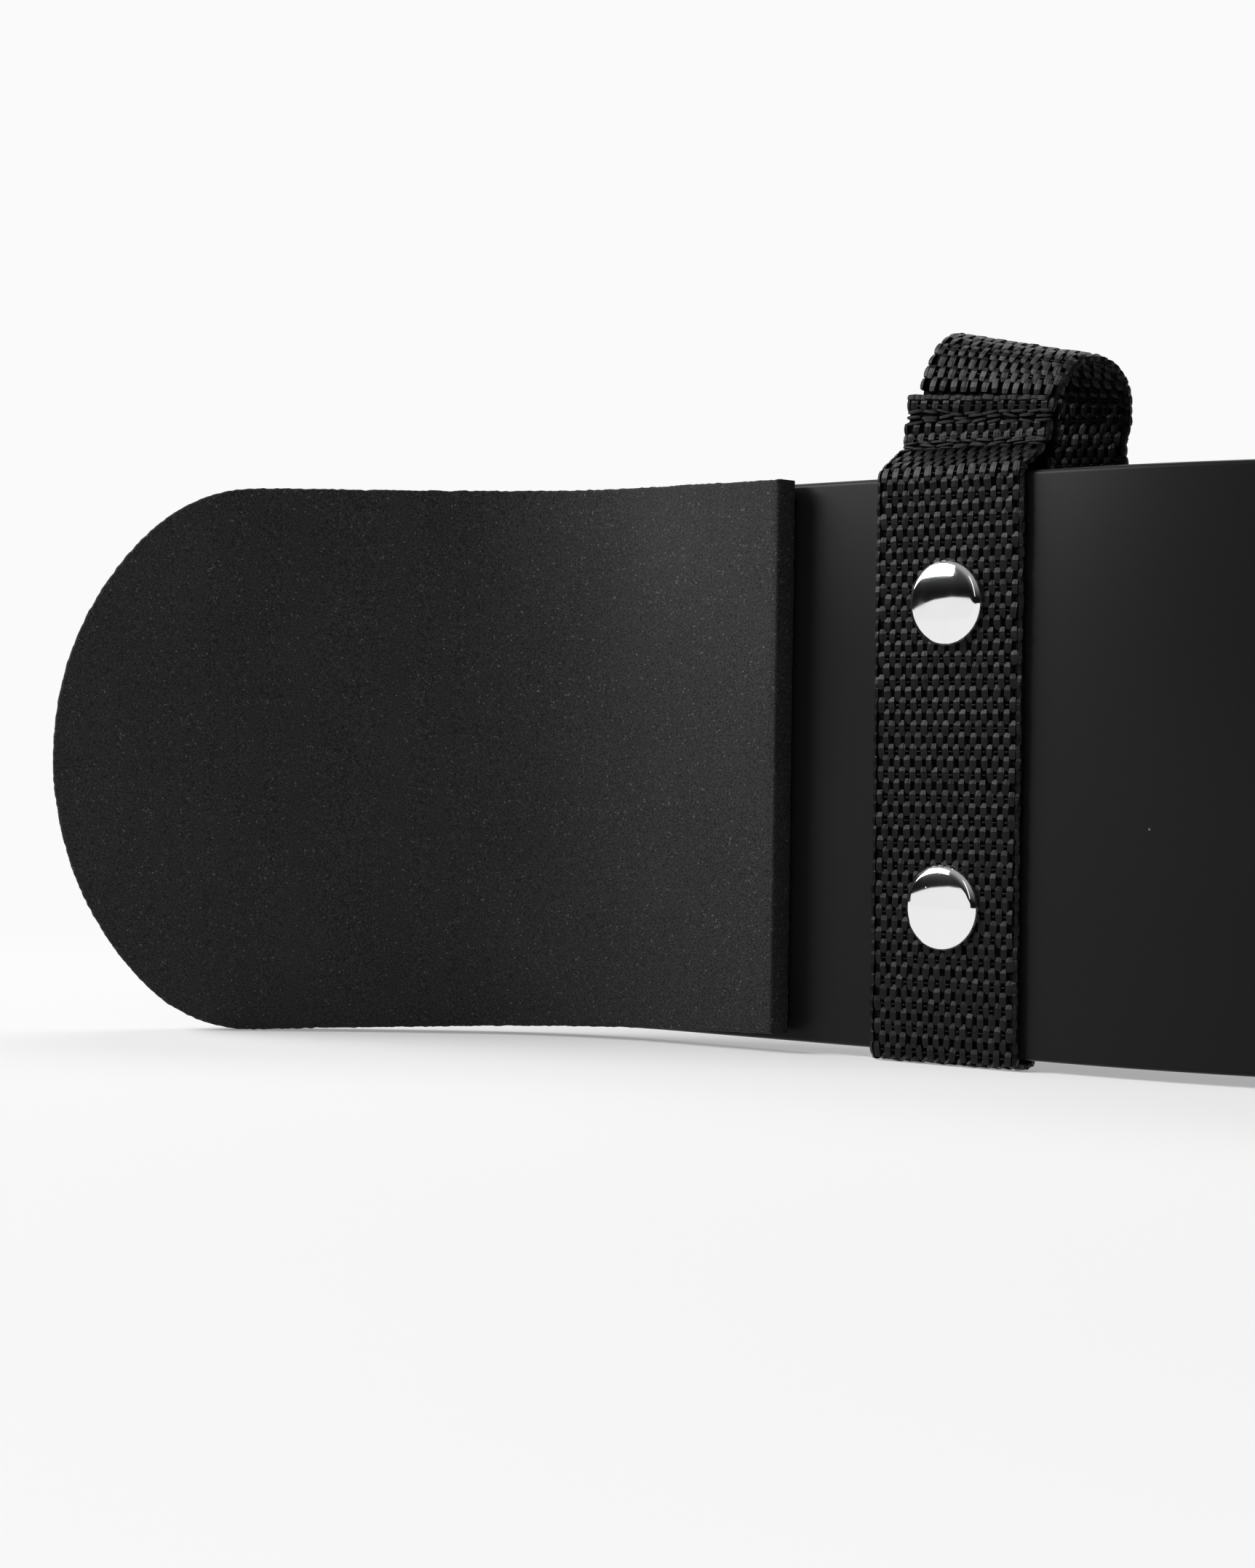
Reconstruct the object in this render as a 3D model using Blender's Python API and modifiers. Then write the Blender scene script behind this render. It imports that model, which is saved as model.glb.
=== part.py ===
"""Arm blaster for biceps curls: a bent plate with two foam elbow pads and a webbing neck strap.

The front of the plate looks along -Y, its lower edge is down, and the model is symmetric about X = 0.
Lengths are metres. A depth is a distance behind the plate's front face, so the front side is negative.
"""

import math

import bmesh
import bpy
from mathutils import Matrix, Vector

MM = 0.001
DEGREE = math.pi / 180

# Gap kept between pieces that touch
GAP = 0.3 * MM

# Plate: a flat blank with round ends, bent to a belly curve, flat flanks and two elbow cups
PLATE_HEIGHT = 100 * MM
PLATE_THICKNESS = 2.5 * MM
PLATE_EDGE_ROUND = 0.9 * MM
END_BULGE = 29.6 * MM
END_CORNER_RADIUS = 30 * MM
BELLY_RADIUS = 145 * MM
FLANK_ANGLE = 41.2 * DEGREE
FLANK_LENGTH = 84 * MM
ELBOW_RADIUS = 66 * MM
CUP_ANGLE = 3 * DEGREE
CUP_RADIUS = 420 * MM
CUP_LENGTH = 76 * MM

# Elbow pads: foam sheets that overhang the plate's end and flare down to the ground
PAD_THICKNESS = 5 * MM
PAD_HEIGHT = 99 * MM
PAD_OVERHANG = 1.9 * MM
PAD_NOSE_LIFT = 1 * MM
PAD_RISE = 0.5 * MM
PAD_FOOT = 0.1 * MM
PAD_STRAP_SPACE = 18.8 * MM
ADHESIVE_THICKNESS = 0.4 * MM
ADHESIVE_INSET = 2.5 * MM

# Webbing, and the sling that wraps the plate
WEBBING_WIDTH = 30 * MM
WEBBING_THICKNESS = 1.6 * MM
WEBBING_EDGE = 0.4 * MM
STRAP_INSET = 7.2 * MM
SEAM_SETBACK = 6.5 * MM
SEAM_BASE = 5.3 * MM
SEAM_HEIGHT = 9.4 * MM
SEAM_KNEE_RADIUS = 4 * MM
SEAM_EASE = 1 * MM
CREST_RISE = 0.7 * MM
CREST_RADIUS = 2.1 * MM
BACK_PLY_DROP = 14 * MM
BACK_PLY_RADIUS = 30 * MM

# Free neck strap: a loop over the plate's upper edge, two legs down to the ground and one round turn
LOOP_HEIGHT = 23 * MM
LOOP_LEAN = 11.5 * DEGREE
LOOP_SHIFT = 3.2 * MM
LOOP_DRIFT = 0.11
LOOP_ROUTE = (
    (8.5 * MM, 17.5 * MM),
    (10.6 * MM, 21.2 * MM),
    (14.0 * MM, 23.1 * MM),
    (17.8 * MM, 23.0 * MM),
    (21.4 * MM, 21.5 * MM),
    (24.2 * MM, 18.9 * MM),
    (26.0 * MM, 15.2 * MM),
    (26.9 * MM, 10.4 * MM),
    (27.0 * MM, 4.8 * MM),
)
# Each leg point: sideways, backward, and its height as a share of the way up from the ground to the loop
LEG_ROUTE = (
    (90.0 * MM, 16.0 * MM, 0.84),
    (88.8 * MM, 23.2 * MM, 0.64),
    (88.6 * MM, 37.8 * MM, 0.39),
    (89.6 * MM, 59.0 * MM, 0.19),
    (92.0 * MM, 84.0 * MM, 0.06),
    (94.3 * MM, 112.0 * MM, 0.0),
    (95.0 * MM, 134.0 * MM, 0.0),
)
TURN_RADIUS = 95 * MM
RUN_START = 150 * MM
RUN_END = 250 * MM
STRAP_FOOT = 0.4 * MM

# Slider on the straight run of the neck strap's right leg
SLIDER_PLACE = 200 * MM
SLIDER_LENGTH = 26 * MM
SLIDER_RAIL = 2.2 * MM
SLIDER_BAR = 1.8 * MM
SLIDER_BAR_WIDTH = 5 * MM
SLIDER_EDGE_ROUND = 0.6 * MM

# Double-cap rivets
RIVET_FROM_TOP = 22.3 * MM
RIVET_FROM_BOTTOM = 25.3 * MM
CAP_DIAMETER = 14.6 * MM
CAP_HEIGHT = 2.9 * MM
CAP_RIM = 0.9 * MM
CAP_SHEET = 0.45 * MM
CAP_RIM_WIDTH = 2.1 * MM
CAP_LIP = 0.8 * MM
FLANGE_THICKNESS = 0.4 * MM
POST_RADIUS = 2.0 * MM
POST_WALL = 0.7 * MM
POST_PROUD = 0.3 * MM
SOCKET_WALL = 0.5 * MM

# Fineness of the facets
BEND_SAG = 0.03 * MM
OUTLINE_SAG = 0.1 * MM
PATH_TURN = 22.5 * DEGREE
ROUTE_STEP = 7 * MM
TURN_STEPS = 9
CAP_STEPS = 20
POST_STEPS = 16
DOME_STEPS = 4

# Heights and places that follow from the sizes above
PLATE_BOTTOM = WEBBING_THICKNESS + GAP
PLATE_TOP = PLATE_BOTTOM + PLATE_HEIGHT
BELLY_LENGTH = BELLY_RADIUS * FLANK_ANGLE
ELBOW_LENGTH = ELBOW_RADIUS * (FLANK_ANGLE - CUP_ANGLE)
PLATE_HALF = BELLY_LENGTH + FLANK_LENGTH + ELBOW_LENGTH + CUP_LENGTH
STRAP_PLACE = BELLY_LENGTH + STRAP_INSET + WEBBING_WIDTH / 2
PAD_START = STRAP_PLACE + WEBBING_WIDTH / 2 + PAD_STRAP_SPACE
PAD_END = PLATE_HALF + PAD_OVERHANG
PLY = GAP + WEBBING_THICKNESS / 2
FRONT_PLY_DEPTH = -PLY
BACK_PLY_DEPTH = PLATE_THICKNESS + PLY
SEAM_TOP = PLATE_TOP + SEAM_BASE + SEAM_HEIGHT
CAP_RADIUS = CAP_DIAMETER / 2
FLANGE_RADIUS = CAP_RADIUS - CAP_RIM_WIDTH
FLANGE_BASE = GAP + CAP_SHEET + GAP
FLANGE_TOP = FLANGE_BASE + FLANGE_THICKNESS
HOLE_RADIUS = POST_RADIUS + GAP
SOCKET_RADIUS = HOLE_RADIUS + SOCKET_WALL
RIVET_HEIGHTS = {"upper": PLATE_TOP - RIVET_FROM_TOP, "lower": PLATE_BOTTOM + RIVET_FROM_BOTTOM}
SIDES = {"left": -1, "right": 1}
UP = Vector((0, 0, 1))


def bend_along(distance):
    """Point and heading of the plate's front face, a distance along it from the middle, on the right."""
    x, y, heading = 0.0, 0.0, 0.0
    bends = (
        (BELLY_LENGTH, 1 / BELLY_RADIUS),
        (FLANK_LENGTH, 0.0),
        (ELBOW_LENGTH, -1 / ELBOW_RADIUS),
        (CUP_LENGTH + PAD_OVERHANG, -1 / CUP_RADIUS),
    )
    for length, curvature in bends:
        step = min(distance, length)
        turned = heading + curvature * step
        if curvature:
            x += (math.sin(turned) - math.sin(heading)) / curvature
            y += (math.cos(heading) - math.cos(turned)) / curvature
        else:
            x += step * math.cos(heading)
            y += step * math.sin(heading)
        heading = turned
        distance -= step
    return x, y, heading


def cup_depth():
    """How far back the plate's back face reaches, behind the front of its belly."""
    deepest = BELLY_LENGTH + FLANK_LENGTH + ELBOW_LENGTH + CUP_RADIUS * CUP_ANGLE
    return bend_along(deepest)[1] + PLATE_THICKNESS


MIDDLE_OF_DEPTH = cup_depth() / 2


def bent(along, depth, height):
    """Place of a point of the flat blank after bending; along is negative on the left half."""
    x, y, heading = bend_along(abs(along))
    x -= depth * math.sin(heading)
    y += depth * math.cos(heading)
    return Vector((math.copysign(x, along), y - MIDDLE_OF_DEPTH, height))


def bend_stations():
    """Distances from the middle at which the bent sheets have an edge, on the right half."""
    stations = [0.0]
    spans = (
        (BELLY_LENGTH, BELLY_RADIUS),
        (FLANK_LENGTH, None),
        (ELBOW_LENGTH, ELBOW_RADIUS),
        (CUP_LENGTH, CUP_RADIUS),
    )
    for length, radius in spans:
        count = 1
        if radius:
            count = math.ceil(length / math.sqrt(8 * radius * BEND_SAG))
        start = stations[-1]
        stations += [start + length * step / count for step in range(1, count + 1)]
    return stations


def strap_frame(side):
    """Axes at the strap on the plate's front face: along the plate, up, and out to the front."""
    x, y, heading = bend_along(STRAP_PLACE)
    out = Vector((side * math.sin(heading), -math.cos(heading), 0))
    along = UP.cross(out)
    frame = Matrix((along, UP, out)).transposed().to_4x4()
    frame.translation = (side * x, y - MIDDLE_OF_DEPTH, 0)
    return frame


def arc(centre, radius, start, stop):
    """Points on an arc, its ends included, in steps that keep within the outline's sag."""
    step = 2 * math.acos(1 - OUTLINE_SAG / radius)
    count = math.ceil(abs(stop - start) / step)
    angles = [start + (stop - start) * i / count for i in range(count + 1)]
    return [(centre[0] + radius * math.cos(a), centre[1] + radius * math.sin(a)) for a in angles]


def round_end(tip, low, high):
    """Outline round an end that points outward, from its lower to its upper edge."""
    half = (high - low) / 2
    middle = low + half
    arc_radius = (half**2 + END_BULGE**2) / (2 * END_BULGE)
    rise = half - END_CORNER_RADIUS
    reach = arc_radius - END_CORNER_RADIUS
    lean = math.asin(rise / reach)
    corner = tip - arc_radius + reach * math.cos(lean)
    lower = arc((corner, middle - rise), END_CORNER_RADIUS, -math.pi / 2, -lean)
    nose = arc((tip - arc_radius, middle), arc_radius, -lean, lean)
    upper = arc((corner, middle + rise), END_CORNER_RADIUS, lean, math.pi / 2)
    return lower + nose[1:-1] + upper


def plate_outline():
    """Outline of the flat plate blank, round at both ends."""
    right = round_end(PLATE_HALF, PLATE_BOTTOM, PLATE_TOP)
    left = [(-along, height) for along, height in reversed(right)]
    return right + left


def pad_outline(inset):
    """Outline of the right pad: square at the strap, round at the tip, flared down to the ground."""
    top = PLATE_TOP + PAD_RISE
    bottom = top - PAD_HEIGHT
    end = round_end(PAD_END - inset, bottom + inset, top - inset)
    corner = end[0][0]
    flare = ((top - PAD_FOOT) / PAD_HEIGHT - 1) / (corner - PAD_START)
    square = [(PAD_START + inset, top - inset), (PAD_START + inset, bottom + inset)]
    outline = []
    for along, height in end + square:
        nose = max(along - corner, 0) / (PAD_END - corner)
        fall = (top - height) * (1 + flare * (along - PAD_START))
        outline.append((along, top - fall + PAD_NOSE_LIFT * nose**2))
    return outline


def new_object(name, mesh, material, collection):
    """An object of a mesh with its material, in a collection."""
    mesh.materials.append(material)
    obj = bpy.data.objects.new(name, mesh)
    collection.objects.link(obj)
    return obj


def mesh_of(name, shape):
    """A shaded mesh of a finished shape, with its faces pointing out."""
    bmesh.ops.recalc_face_normals(shape, faces=shape.faces)
    mesh = bpy.data.meshes.new(name)
    shape.to_mesh(mesh)
    shape.free()
    mesh.shade_smooth()
    mesh.set_sharp_from_angle(angle=30 * DEGREE)
    return mesh


def bent_sheet(name, outline, front, back, edge_round, side):
    """Mesh of a flat sheet cut to an outline, eased along its rim and bent with the plate."""
    shape = bmesh.new()
    face = shape.faces.new([shape.verts.new((along, front, height)) for along, height in outline])
    raised = bmesh.ops.extrude_face_region(shape, geom=[face])["geom"]
    corners = [item for item in raised if isinstance(item, bmesh.types.BMVert)]
    bmesh.ops.translate(shape, verts=corners, vec=(0, back - front, 0))
    bmesh.ops.recalc_face_normals(shape, faces=shape.faces)
    if edge_round:
        rim = [e for e in shape.edges if abs(e.verts[0].co.y - e.verts[1].co.y) < GAP / 2]
        bmesh.ops.bevel(shape, geom=rim, offset=edge_round, segments=2, profile=0.5, affect="EDGES")
    for station in bend_stations():
        for place in {station, -station}:
            everything = shape.verts[:] + shape.edges[:] + shape.faces[:]
            bmesh.ops.bisect_plane(
                shape, geom=everything, dist=GAP / 100, plane_co=(place, 0, 0), plane_no=(1, 0, 0)
            )
    for vertex in shape.verts:
        vertex.co = bent(side * vertex.co.x, vertex.co.y, vertex.co.z)
    return mesh_of(name, shape)


def rounded_path(corners):
    """Points along straight runs between corners, each given as depth, height and corner radius."""
    points = [Vector(corners[0][:2])]
    for before, corner, after in zip(corners, corners[1:], corners[2:]):
        here = Vector(corner[:2])
        inward = (here - Vector(before[:2])).normalized()
        outward = (Vector(after[:2]) - here).normalized()
        turn = inward.angle_signed(outward)
        half = abs(turn) / 2
        start = here - inward * corner[2] * math.tan(half)
        centre = here + (outward - inward).normalized() * corner[2] / math.cos(half)
        count = math.ceil(abs(turn) / PATH_TURN)
        spoke = start - centre
        for step in range(count + 1):
            points.append(centre + Matrix.Rotation(-turn * step / count, 2) @ spoke)
    points.append(Vector(corners[-1][:2]))
    return points


def strap_lean(rise, depth):
    """How far the webbing tips towards the middle, and its shift that way, at a rise above the plate."""
    share = min(max(rise / LOOP_HEIGHT, 0), 1)
    drift = LOOP_DRIFT * max(depth - LOOP_ROUTE[0][0], 0)
    return LOOP_LEAN * share**2, LOOP_SHIFT * share**1.2 + drift


def strap_station(side, depth, height):
    """Centre and width direction of the webbing near the plate, at a depth and height."""
    frame = strap_frame(side)
    inward = -side * frame.col[0].to_3d()
    lean, shift = strap_lean(height - PLATE_TOP, depth)
    centre = frame.translation - frame.col[2].to_3d() * depth + inward * shift + UP * height
    return centre, inward * math.cos(lean) - UP * math.sin(lean)


def direction(centres, index):
    """Which way a line of points runs at one of them."""
    last = len(centres) - 1
    return (centres[min(index + 1, last)] - centres[max(index - 1, 0)]).normalized()


def webbing(name, stations):
    """Mesh of a flat band swept through stations, each a centre and a width direction."""
    side = WEBBING_WIDTH / 2
    face = WEBBING_THICKNESS / 2
    eased_side = side - WEBBING_EDGE
    eased_face = face - WEBBING_EDGE
    section = [(side, eased_face), (eased_side, face), (-eased_side, face), (-side, eased_face)]
    section += [(-across, -through) for across, through in section]
    shape = bmesh.new()
    rings = []
    centres = [centre for centre, width in stations]
    for index, (centre, width) in enumerate(stations):
        normal = direction(centres, index).cross(width).normalized()
        rings.append([shape.verts.new(centre + width * a + normal * t) for a, t in section])
    for first, second in zip(rings, rings[1:]):
        for corner in range(len(section)):
            beside = (corner + 1) % len(section)
            shape.faces.new((first[corner], first[beside], second[beside], second[corner]))
    shape.faces.new(reversed(rings[0]))
    shape.faces.new(rings[-1])
    return mesh_of(name, shape)


def sling_mesh(name, side):
    """Webbing from its sewn end down the plate's front, under it and up its back to the seam."""
    seam_low = PLATE_TOP + SEAM_BASE
    seam_front = SEAM_SETBACK - PLY
    seam_back = SEAM_SETBACK + PLY
    under = WEBBING_THICKNESS / 2
    corners = (
        (seam_front, SEAM_TOP),
        (seam_front, seam_low, SEAM_KNEE_RADIUS),
        (FRONT_PLY_DEPTH, PLATE_TOP + CREST_RISE, CREST_RADIUS),
        (FRONT_PLY_DEPTH, under, PLY),
        (BACK_PLY_DEPTH, under, PLY),
        (BACK_PLY_DEPTH, PLATE_TOP - BACK_PLY_DROP, BACK_PLY_RADIUS),
        (seam_back, seam_low, BACK_PLY_RADIUS),
        (seam_back, SEAM_TOP),
    )
    return webbing(name, [strap_station(side, depth, height) for depth, height in rounded_path(corners)])


def smooth_line(controls):
    """Stations on a smooth curve through control stations; the last control only steers the end."""
    stations = [controls[0]]
    padded = [controls[0]] + controls
    for before, here, after, beyond in zip(padded, padded[1:], padded[2:], padded[3:]):
        count = math.ceil((after[0] - here[0]).length / ROUTE_STEP)
        for step in range(1, count + 1):
            t = step / count
            weights = (
                (2 * t**2 - t - t**3) / 2,
                (3 * t**3 - 5 * t**2 + 2) / 2,
                (4 * t**2 + t - 3 * t**3) / 2,
                (t**3 - t**2) / 2,
            )
            near = (before, here, after, beyond)
            centre = sum((weight * control[0] for weight, control in zip(weights, near)), Vector())
            width = sum((weight * control[1] for weight, control in zip(weights, near)), Vector())
            stations.append((centre, width))
    return squared(stations)


def squared(stations):
    """The same stations, with each width after the first turned square to the way the band runs."""
    centres = [centre for centre, width in stations]
    result = [stations[0]]
    for index in range(1, len(stations)):
        forward = direction(centres, index)
        width = stations[index][1]
        result.append((centres[index], (width - forward * width.dot(forward)).normalized()))
    return result


def lying_height(side):
    """Height of the webbing's middle where it stands on edge; the slider lifts it on the right."""
    lift = WEBBING_WIDTH / 2 + STRAP_FOOT
    if side > 0:
        lift += SLIDER_RAIL + GAP
    return lift


def neck_strap_half(side):
    """Stations of the neck strap from a seam, over the loop and down the leg, to the straight run's end."""
    seam = SEAM_SETBACK + PLY
    route = [(seam, SEAM_TOP + GAP), (seam, SEAM_TOP + GAP + SEAM_EASE)]
    route += [(depth, PLATE_TOP + rise) for depth, rise in LOOP_ROUTE]
    controls = [strap_station(side, depth, height) for depth, height in route]
    inward = controls[-1][1]
    ground = lying_height(side)
    fall = controls[-1][0].z - ground
    for sideways, backward, share in LEG_ROUTE:
        width = (inward * share - UP * (1 - share)).normalized()
        controls.append((Vector((side * sideways, backward, ground + fall * share)), width))
    run = [(Vector((side * TURN_RADIUS, y, ground)), -UP) for y in (RUN_START, RUN_END)]
    return smooth_line(controls + run) + run[1:]


def neck_strap_mesh(name):
    """The free webbing from the right seam, round the turn behind the plate, to the left seam."""
    right = neck_strap_half(SIDES["right"])
    left = neck_strap_half(SIDES["left"])
    turn = []
    for step in range(1, 2 * TURN_STEPS):
        angle = math.pi * step / (2 * TURN_STEPS)
        share = (1 + math.cos(angle)) / 2
        height = left[-1][0].z + (right[-1][0].z - left[-1][0].z) * share
        x = TURN_RADIUS * math.cos(angle)
        y = RUN_END + TURN_RADIUS * math.sin(angle)
        turn.append((Vector((x, y, height)), -UP))
    return webbing(name, right + turn + left[::-1])


def turned(name, profile, steps, closed, material, collection):
    """A turned piece: a profile of radius and height with a Screw modifier about its own Z axis."""
    mesh = bpy.data.meshes.new(name)
    edges = [(i, i + 1) for i in range(len(profile) - 1)]
    if closed:
        edges.append((len(profile) - 1, 0))
    mesh.from_pydata([(radius, 0, height) for radius, height in profile], edges, [])
    obj = new_object(name, mesh, material, collection)
    screw = obj.modifiers.new("turn", "SCREW")
    screw.angle = 2 * math.pi
    screw.steps = steps
    screw.render_steps = steps
    screw.use_merge_vertices = True
    screw.merge_threshold = GAP / 100
    return obj


def dome(radius, height, rim):
    """Points down a dome from its top to its rim, as radius and height."""
    bulge = height - rim
    sphere = (radius**2 + bulge**2) / (2 * bulge)
    reach = math.asin(radius / sphere)
    angles = [reach * step / DOME_STEPS for step in range(DOME_STEPS + 1)]
    return [(sphere * math.sin(a), height - sphere * (1 - math.cos(a))) for a in angles]


def cap_profile():
    """Domed cap with a rolled rim and a lip that holds the flange inside it."""
    inner_radius = CAP_RADIUS - CAP_SHEET
    outer = dome(CAP_RADIUS, CAP_HEIGHT, CAP_RIM)
    inner = dome(inner_radius, CAP_HEIGHT - CAP_SHEET, CAP_RIM)
    lip = FLANGE_RADIUS - CAP_LIP
    rim = [
        (CAP_RADIUS, CAP_RIM / 2),
        (CAP_RADIUS - CAP_RIM / 2, 0),
        (lip, 0),
        (lip, CAP_SHEET),
        (inner_radius - CAP_SHEET / 2, CAP_SHEET),
    ]
    return [(radius, height + GAP) for radius, height in outer + rim + inner[::-1]]


def post_profile():
    """Post with a flange at the front and a blind bore from the back, seen from the front webbing."""
    stack = 2 * WEBBING_THICKNESS + 2 * GAP + PLATE_THICKNESS
    tip = -(stack + FLANGE_TOP + POST_PROUD)
    bore = POST_RADIUS - POST_WALL
    return [
        (0, FLANGE_TOP),
        (FLANGE_RADIUS, FLANGE_TOP),
        (FLANGE_RADIUS, FLANGE_BASE),
        (POST_RADIUS, FLANGE_BASE),
        (POST_RADIUS, tip),
        (bore, tip),
        (bore, 0),
        (0, 0),
    ]


def socket_profile():
    """Flange and collar that take the post at the back; the collar reaches through the back webbing."""
    collar = -WEBBING_THICKNESS
    return [
        (HOLE_RADIUS, FLANGE_TOP),
        (FLANGE_RADIUS, FLANGE_TOP),
        (FLANGE_RADIUS, FLANGE_BASE),
        (SOCKET_RADIUS, FLANGE_BASE),
        (SOCKET_RADIUS, collar),
        (HOLE_RADIUS, collar),
    ]


def cutter(name, collection):
    """Keep the active primitive as a hidden cutting shape."""
    obj = bpy.context.object
    obj.name = name
    for group in list(obj.users_collection):
        group.objects.unlink(obj)
    collection.objects.link(obj)
    obj.hide_render = True
    obj.display_type = "WIRE"
    return obj


def cut(obj, tool):
    """Cut a tool's shape out of an object."""
    modifier = obj.modifiers.new("cut " + tool.name, "BOOLEAN")
    modifier.operation = "DIFFERENCE"
    modifier.solver = "EXACT"
    modifier.object = tool


def drill(name, seat, radius, front, back, collection):
    """A round cutter along a rivet's axis, between two depths behind the plate's front face."""
    bpy.ops.mesh.primitive_cylinder_add(vertices=POST_STEPS, radius=radius, depth=back - front)
    tool = cutter(name, collection)
    tool.matrix_world = seat @ Matrix.Translation((0, 0, -(front + back) / 2))
    return tool


def box_cutter(name, low, high, parent, collection):
    """A box cutter between two corners in its parent's own frame."""
    bpy.ops.mesh.primitive_cube_add(size=1)
    tool = cutter(name, collection)
    size = Vector(high) - Vector(low)
    tool.data.transform(Matrix.Diagonal(size.to_4d()))
    tool.parent = parent
    tool.location = (Vector(low) + Vector(high)) / 2
    return tool


def make_rivet(name, side, height, plate, sling, materials, parts, cutters):
    """One rivet: front cap and post, back cap and socket, and the holes that it passes through."""
    seat = strap_frame(side) @ Matrix.Translation((0, height, 0))
    front_surface = GAP + WEBBING_THICKNESS
    back_surface = PLATE_THICKNESS + front_surface
    behind_plate = PLATE_THICKNESS + GAP / 2
    front = seat @ Matrix.Translation((0, 0, front_surface))
    back = seat @ Matrix.Translation((0, 0, -back_surface)) @ Matrix.Rotation(math.pi, 4, "Y")
    pieces = (
        ("front_cap", cap_profile(), CAP_STEPS, False, front, "chrome"),
        ("post", post_profile(), POST_STEPS, False, front, "rivet steel"),
        ("socket", socket_profile(), POST_STEPS, True, back, "rivet steel"),
        ("back_cap", cap_profile(), CAP_STEPS, False, back, "chrome"),
    )
    for piece, profile, steps, closed, place, finish in pieces:
        made = turned(f"{name}_{piece}", profile, steps, closed, materials[finish], parts)
        made.matrix_world = place
    margin = 2 * PLY
    post_hole = drill(name + "_post_hole", seat, HOLE_RADIUS, -front_surface - margin, behind_plate, cutters)
    collar = drill(
        name + "_collar_hole", seat, SOCKET_RADIUS + GAP, behind_plate, back_surface + margin, cutters
    )
    cut(plate, post_hole)
    cut(sling, post_hole)
    cut(sling, collar)


def make_slider(material, parts, cutters):
    """Slider with two outer bars before the webbing and one middle bar behind it, between two rails."""
    slot_x = WEBBING_THICKNESS / 2 + GAP
    slot_z = WEBBING_WIDTH / 2 + GAP
    half = Vector((slot_x + SLIDER_BAR, SLIDER_LENGTH / 2, slot_z + SLIDER_RAIL))
    shape = bmesh.new()
    bmesh.ops.create_cube(shape, size=2, matrix=Matrix.Diagonal(half.to_4d()))
    bmesh.ops.bevel(
        shape, geom=shape.edges[:], offset=SLIDER_EDGE_ROUND, segments=2, profile=0.5, affect="EDGES"
    )
    slider = new_object("strap_slider", mesh_of("strap_slider", shape), material, parts)
    slider.location = (TURN_RADIUS, SLIDER_PLACE, lying_height(SIDES["right"]))
    past = half + Vector((GAP, GAP, 0))
    window = half.y - SLIDER_BAR_WIDTH
    bar = SLIDER_BAR_WIDTH / 2
    boxes = {
        "slider_slot": ((-slot_x, -past.y, -slot_z), (slot_x, past.y, slot_z)),
        "slider_front_window": ((0, -window, -slot_z), (past.x, window, slot_z)),
        "slider_near_window": ((-past.x, -past.y, -slot_z), (0, -bar, slot_z)),
        "slider_far_window": ((-past.x, bar, -slot_z), (0, past.y, slot_z)),
    }
    for name, (low, high) in boxes.items():
        cut(slider, box_cutter(name, low, high, slider, cutters))


def finish(name, color, roughness, metallic):
    """A Principled material of one colour."""
    material = bpy.data.materials.new(name)
    material.use_nodes = True
    shader = material.node_tree.nodes["Principled BSDF"]
    shader.inputs["Base Color"].default_value = (*color, 1)
    shader.inputs["Roughness"].default_value = roughness
    shader.inputs["Metallic"].default_value = metallic
    return material


def make_materials():
    """The finishes of the sub-parts."""
    return {
        "black plate": finish("black plate", (0.018, 0.018, 0.019), 0.38, 0.0),
        "foam": finish("foam", (0.017, 0.017, 0.017), 0.92, 0.0),
        "adhesive": finish("adhesive", (0.35, 0.34, 0.31), 0.6, 0.0),
        "webbing": finish("webbing", (0.013, 0.013, 0.013), 0.7, 0.0),
        "chrome": finish("chrome", (0.82, 0.82, 0.83), 0.06, 1.0),
        "rivet steel": finish("rivet steel", (0.5, 0.5, 0.5), 0.35, 1.0),
        "slider plastic": finish("slider plastic", (0.02, 0.02, 0.02), 0.45, 0.0),
    }


def new_collection(name):
    """A collection in the scene."""
    collection = bpy.data.collections.new(name)
    bpy.context.scene.collection.children.link(collection)
    return collection


def main():
    """Build the arm blaster."""
    for obj in list(bpy.data.objects):
        bpy.data.objects.remove(obj)
    parts = new_collection("arm_blaster")
    cutters = new_collection("cutters")
    materials = make_materials()

    plate_mesh = bent_sheet("plate", plate_outline(), 0, PLATE_THICKNESS, PLATE_EDGE_ROUND, 1)
    plate = new_object("plate", plate_mesh, materials["black plate"], parts)

    adhesive_back = -GAP
    adhesive_front = adhesive_back - ADHESIVE_THICKNESS
    pad_back = adhesive_front - GAP
    pad_front = pad_back - PAD_THICKNESS
    for label, side in SIDES.items():
        name = label + "_pad_adhesive"
        film = bent_sheet(name, pad_outline(ADHESIVE_INSET), adhesive_front, adhesive_back, 0, side)
        new_object(name, film, materials["adhesive"], parts)
        name = label + "_elbow_pad"
        foam = bent_sheet(name, pad_outline(0), pad_front, pad_back, 0, side)
        new_object(name, foam, materials["foam"], parts)
        name = label + "_strap_sling"
        sling = new_object(name, sling_mesh(name, side), materials["webbing"], parts)
        for level, height in RIVET_HEIGHTS.items():
            make_rivet(f"{label}_{level}", side, height, plate, sling, materials, parts, cutters)

    new_object("neck_strap", neck_strap_mesh("neck_strap"), materials["webbing"], parts)
    make_slider(materials["slider plastic"], parts, cutters)


main()
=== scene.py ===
"""Looks of the arm blaster: satin plate, foam elbow pads, woven straps and chrome rivet caps."""

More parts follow.
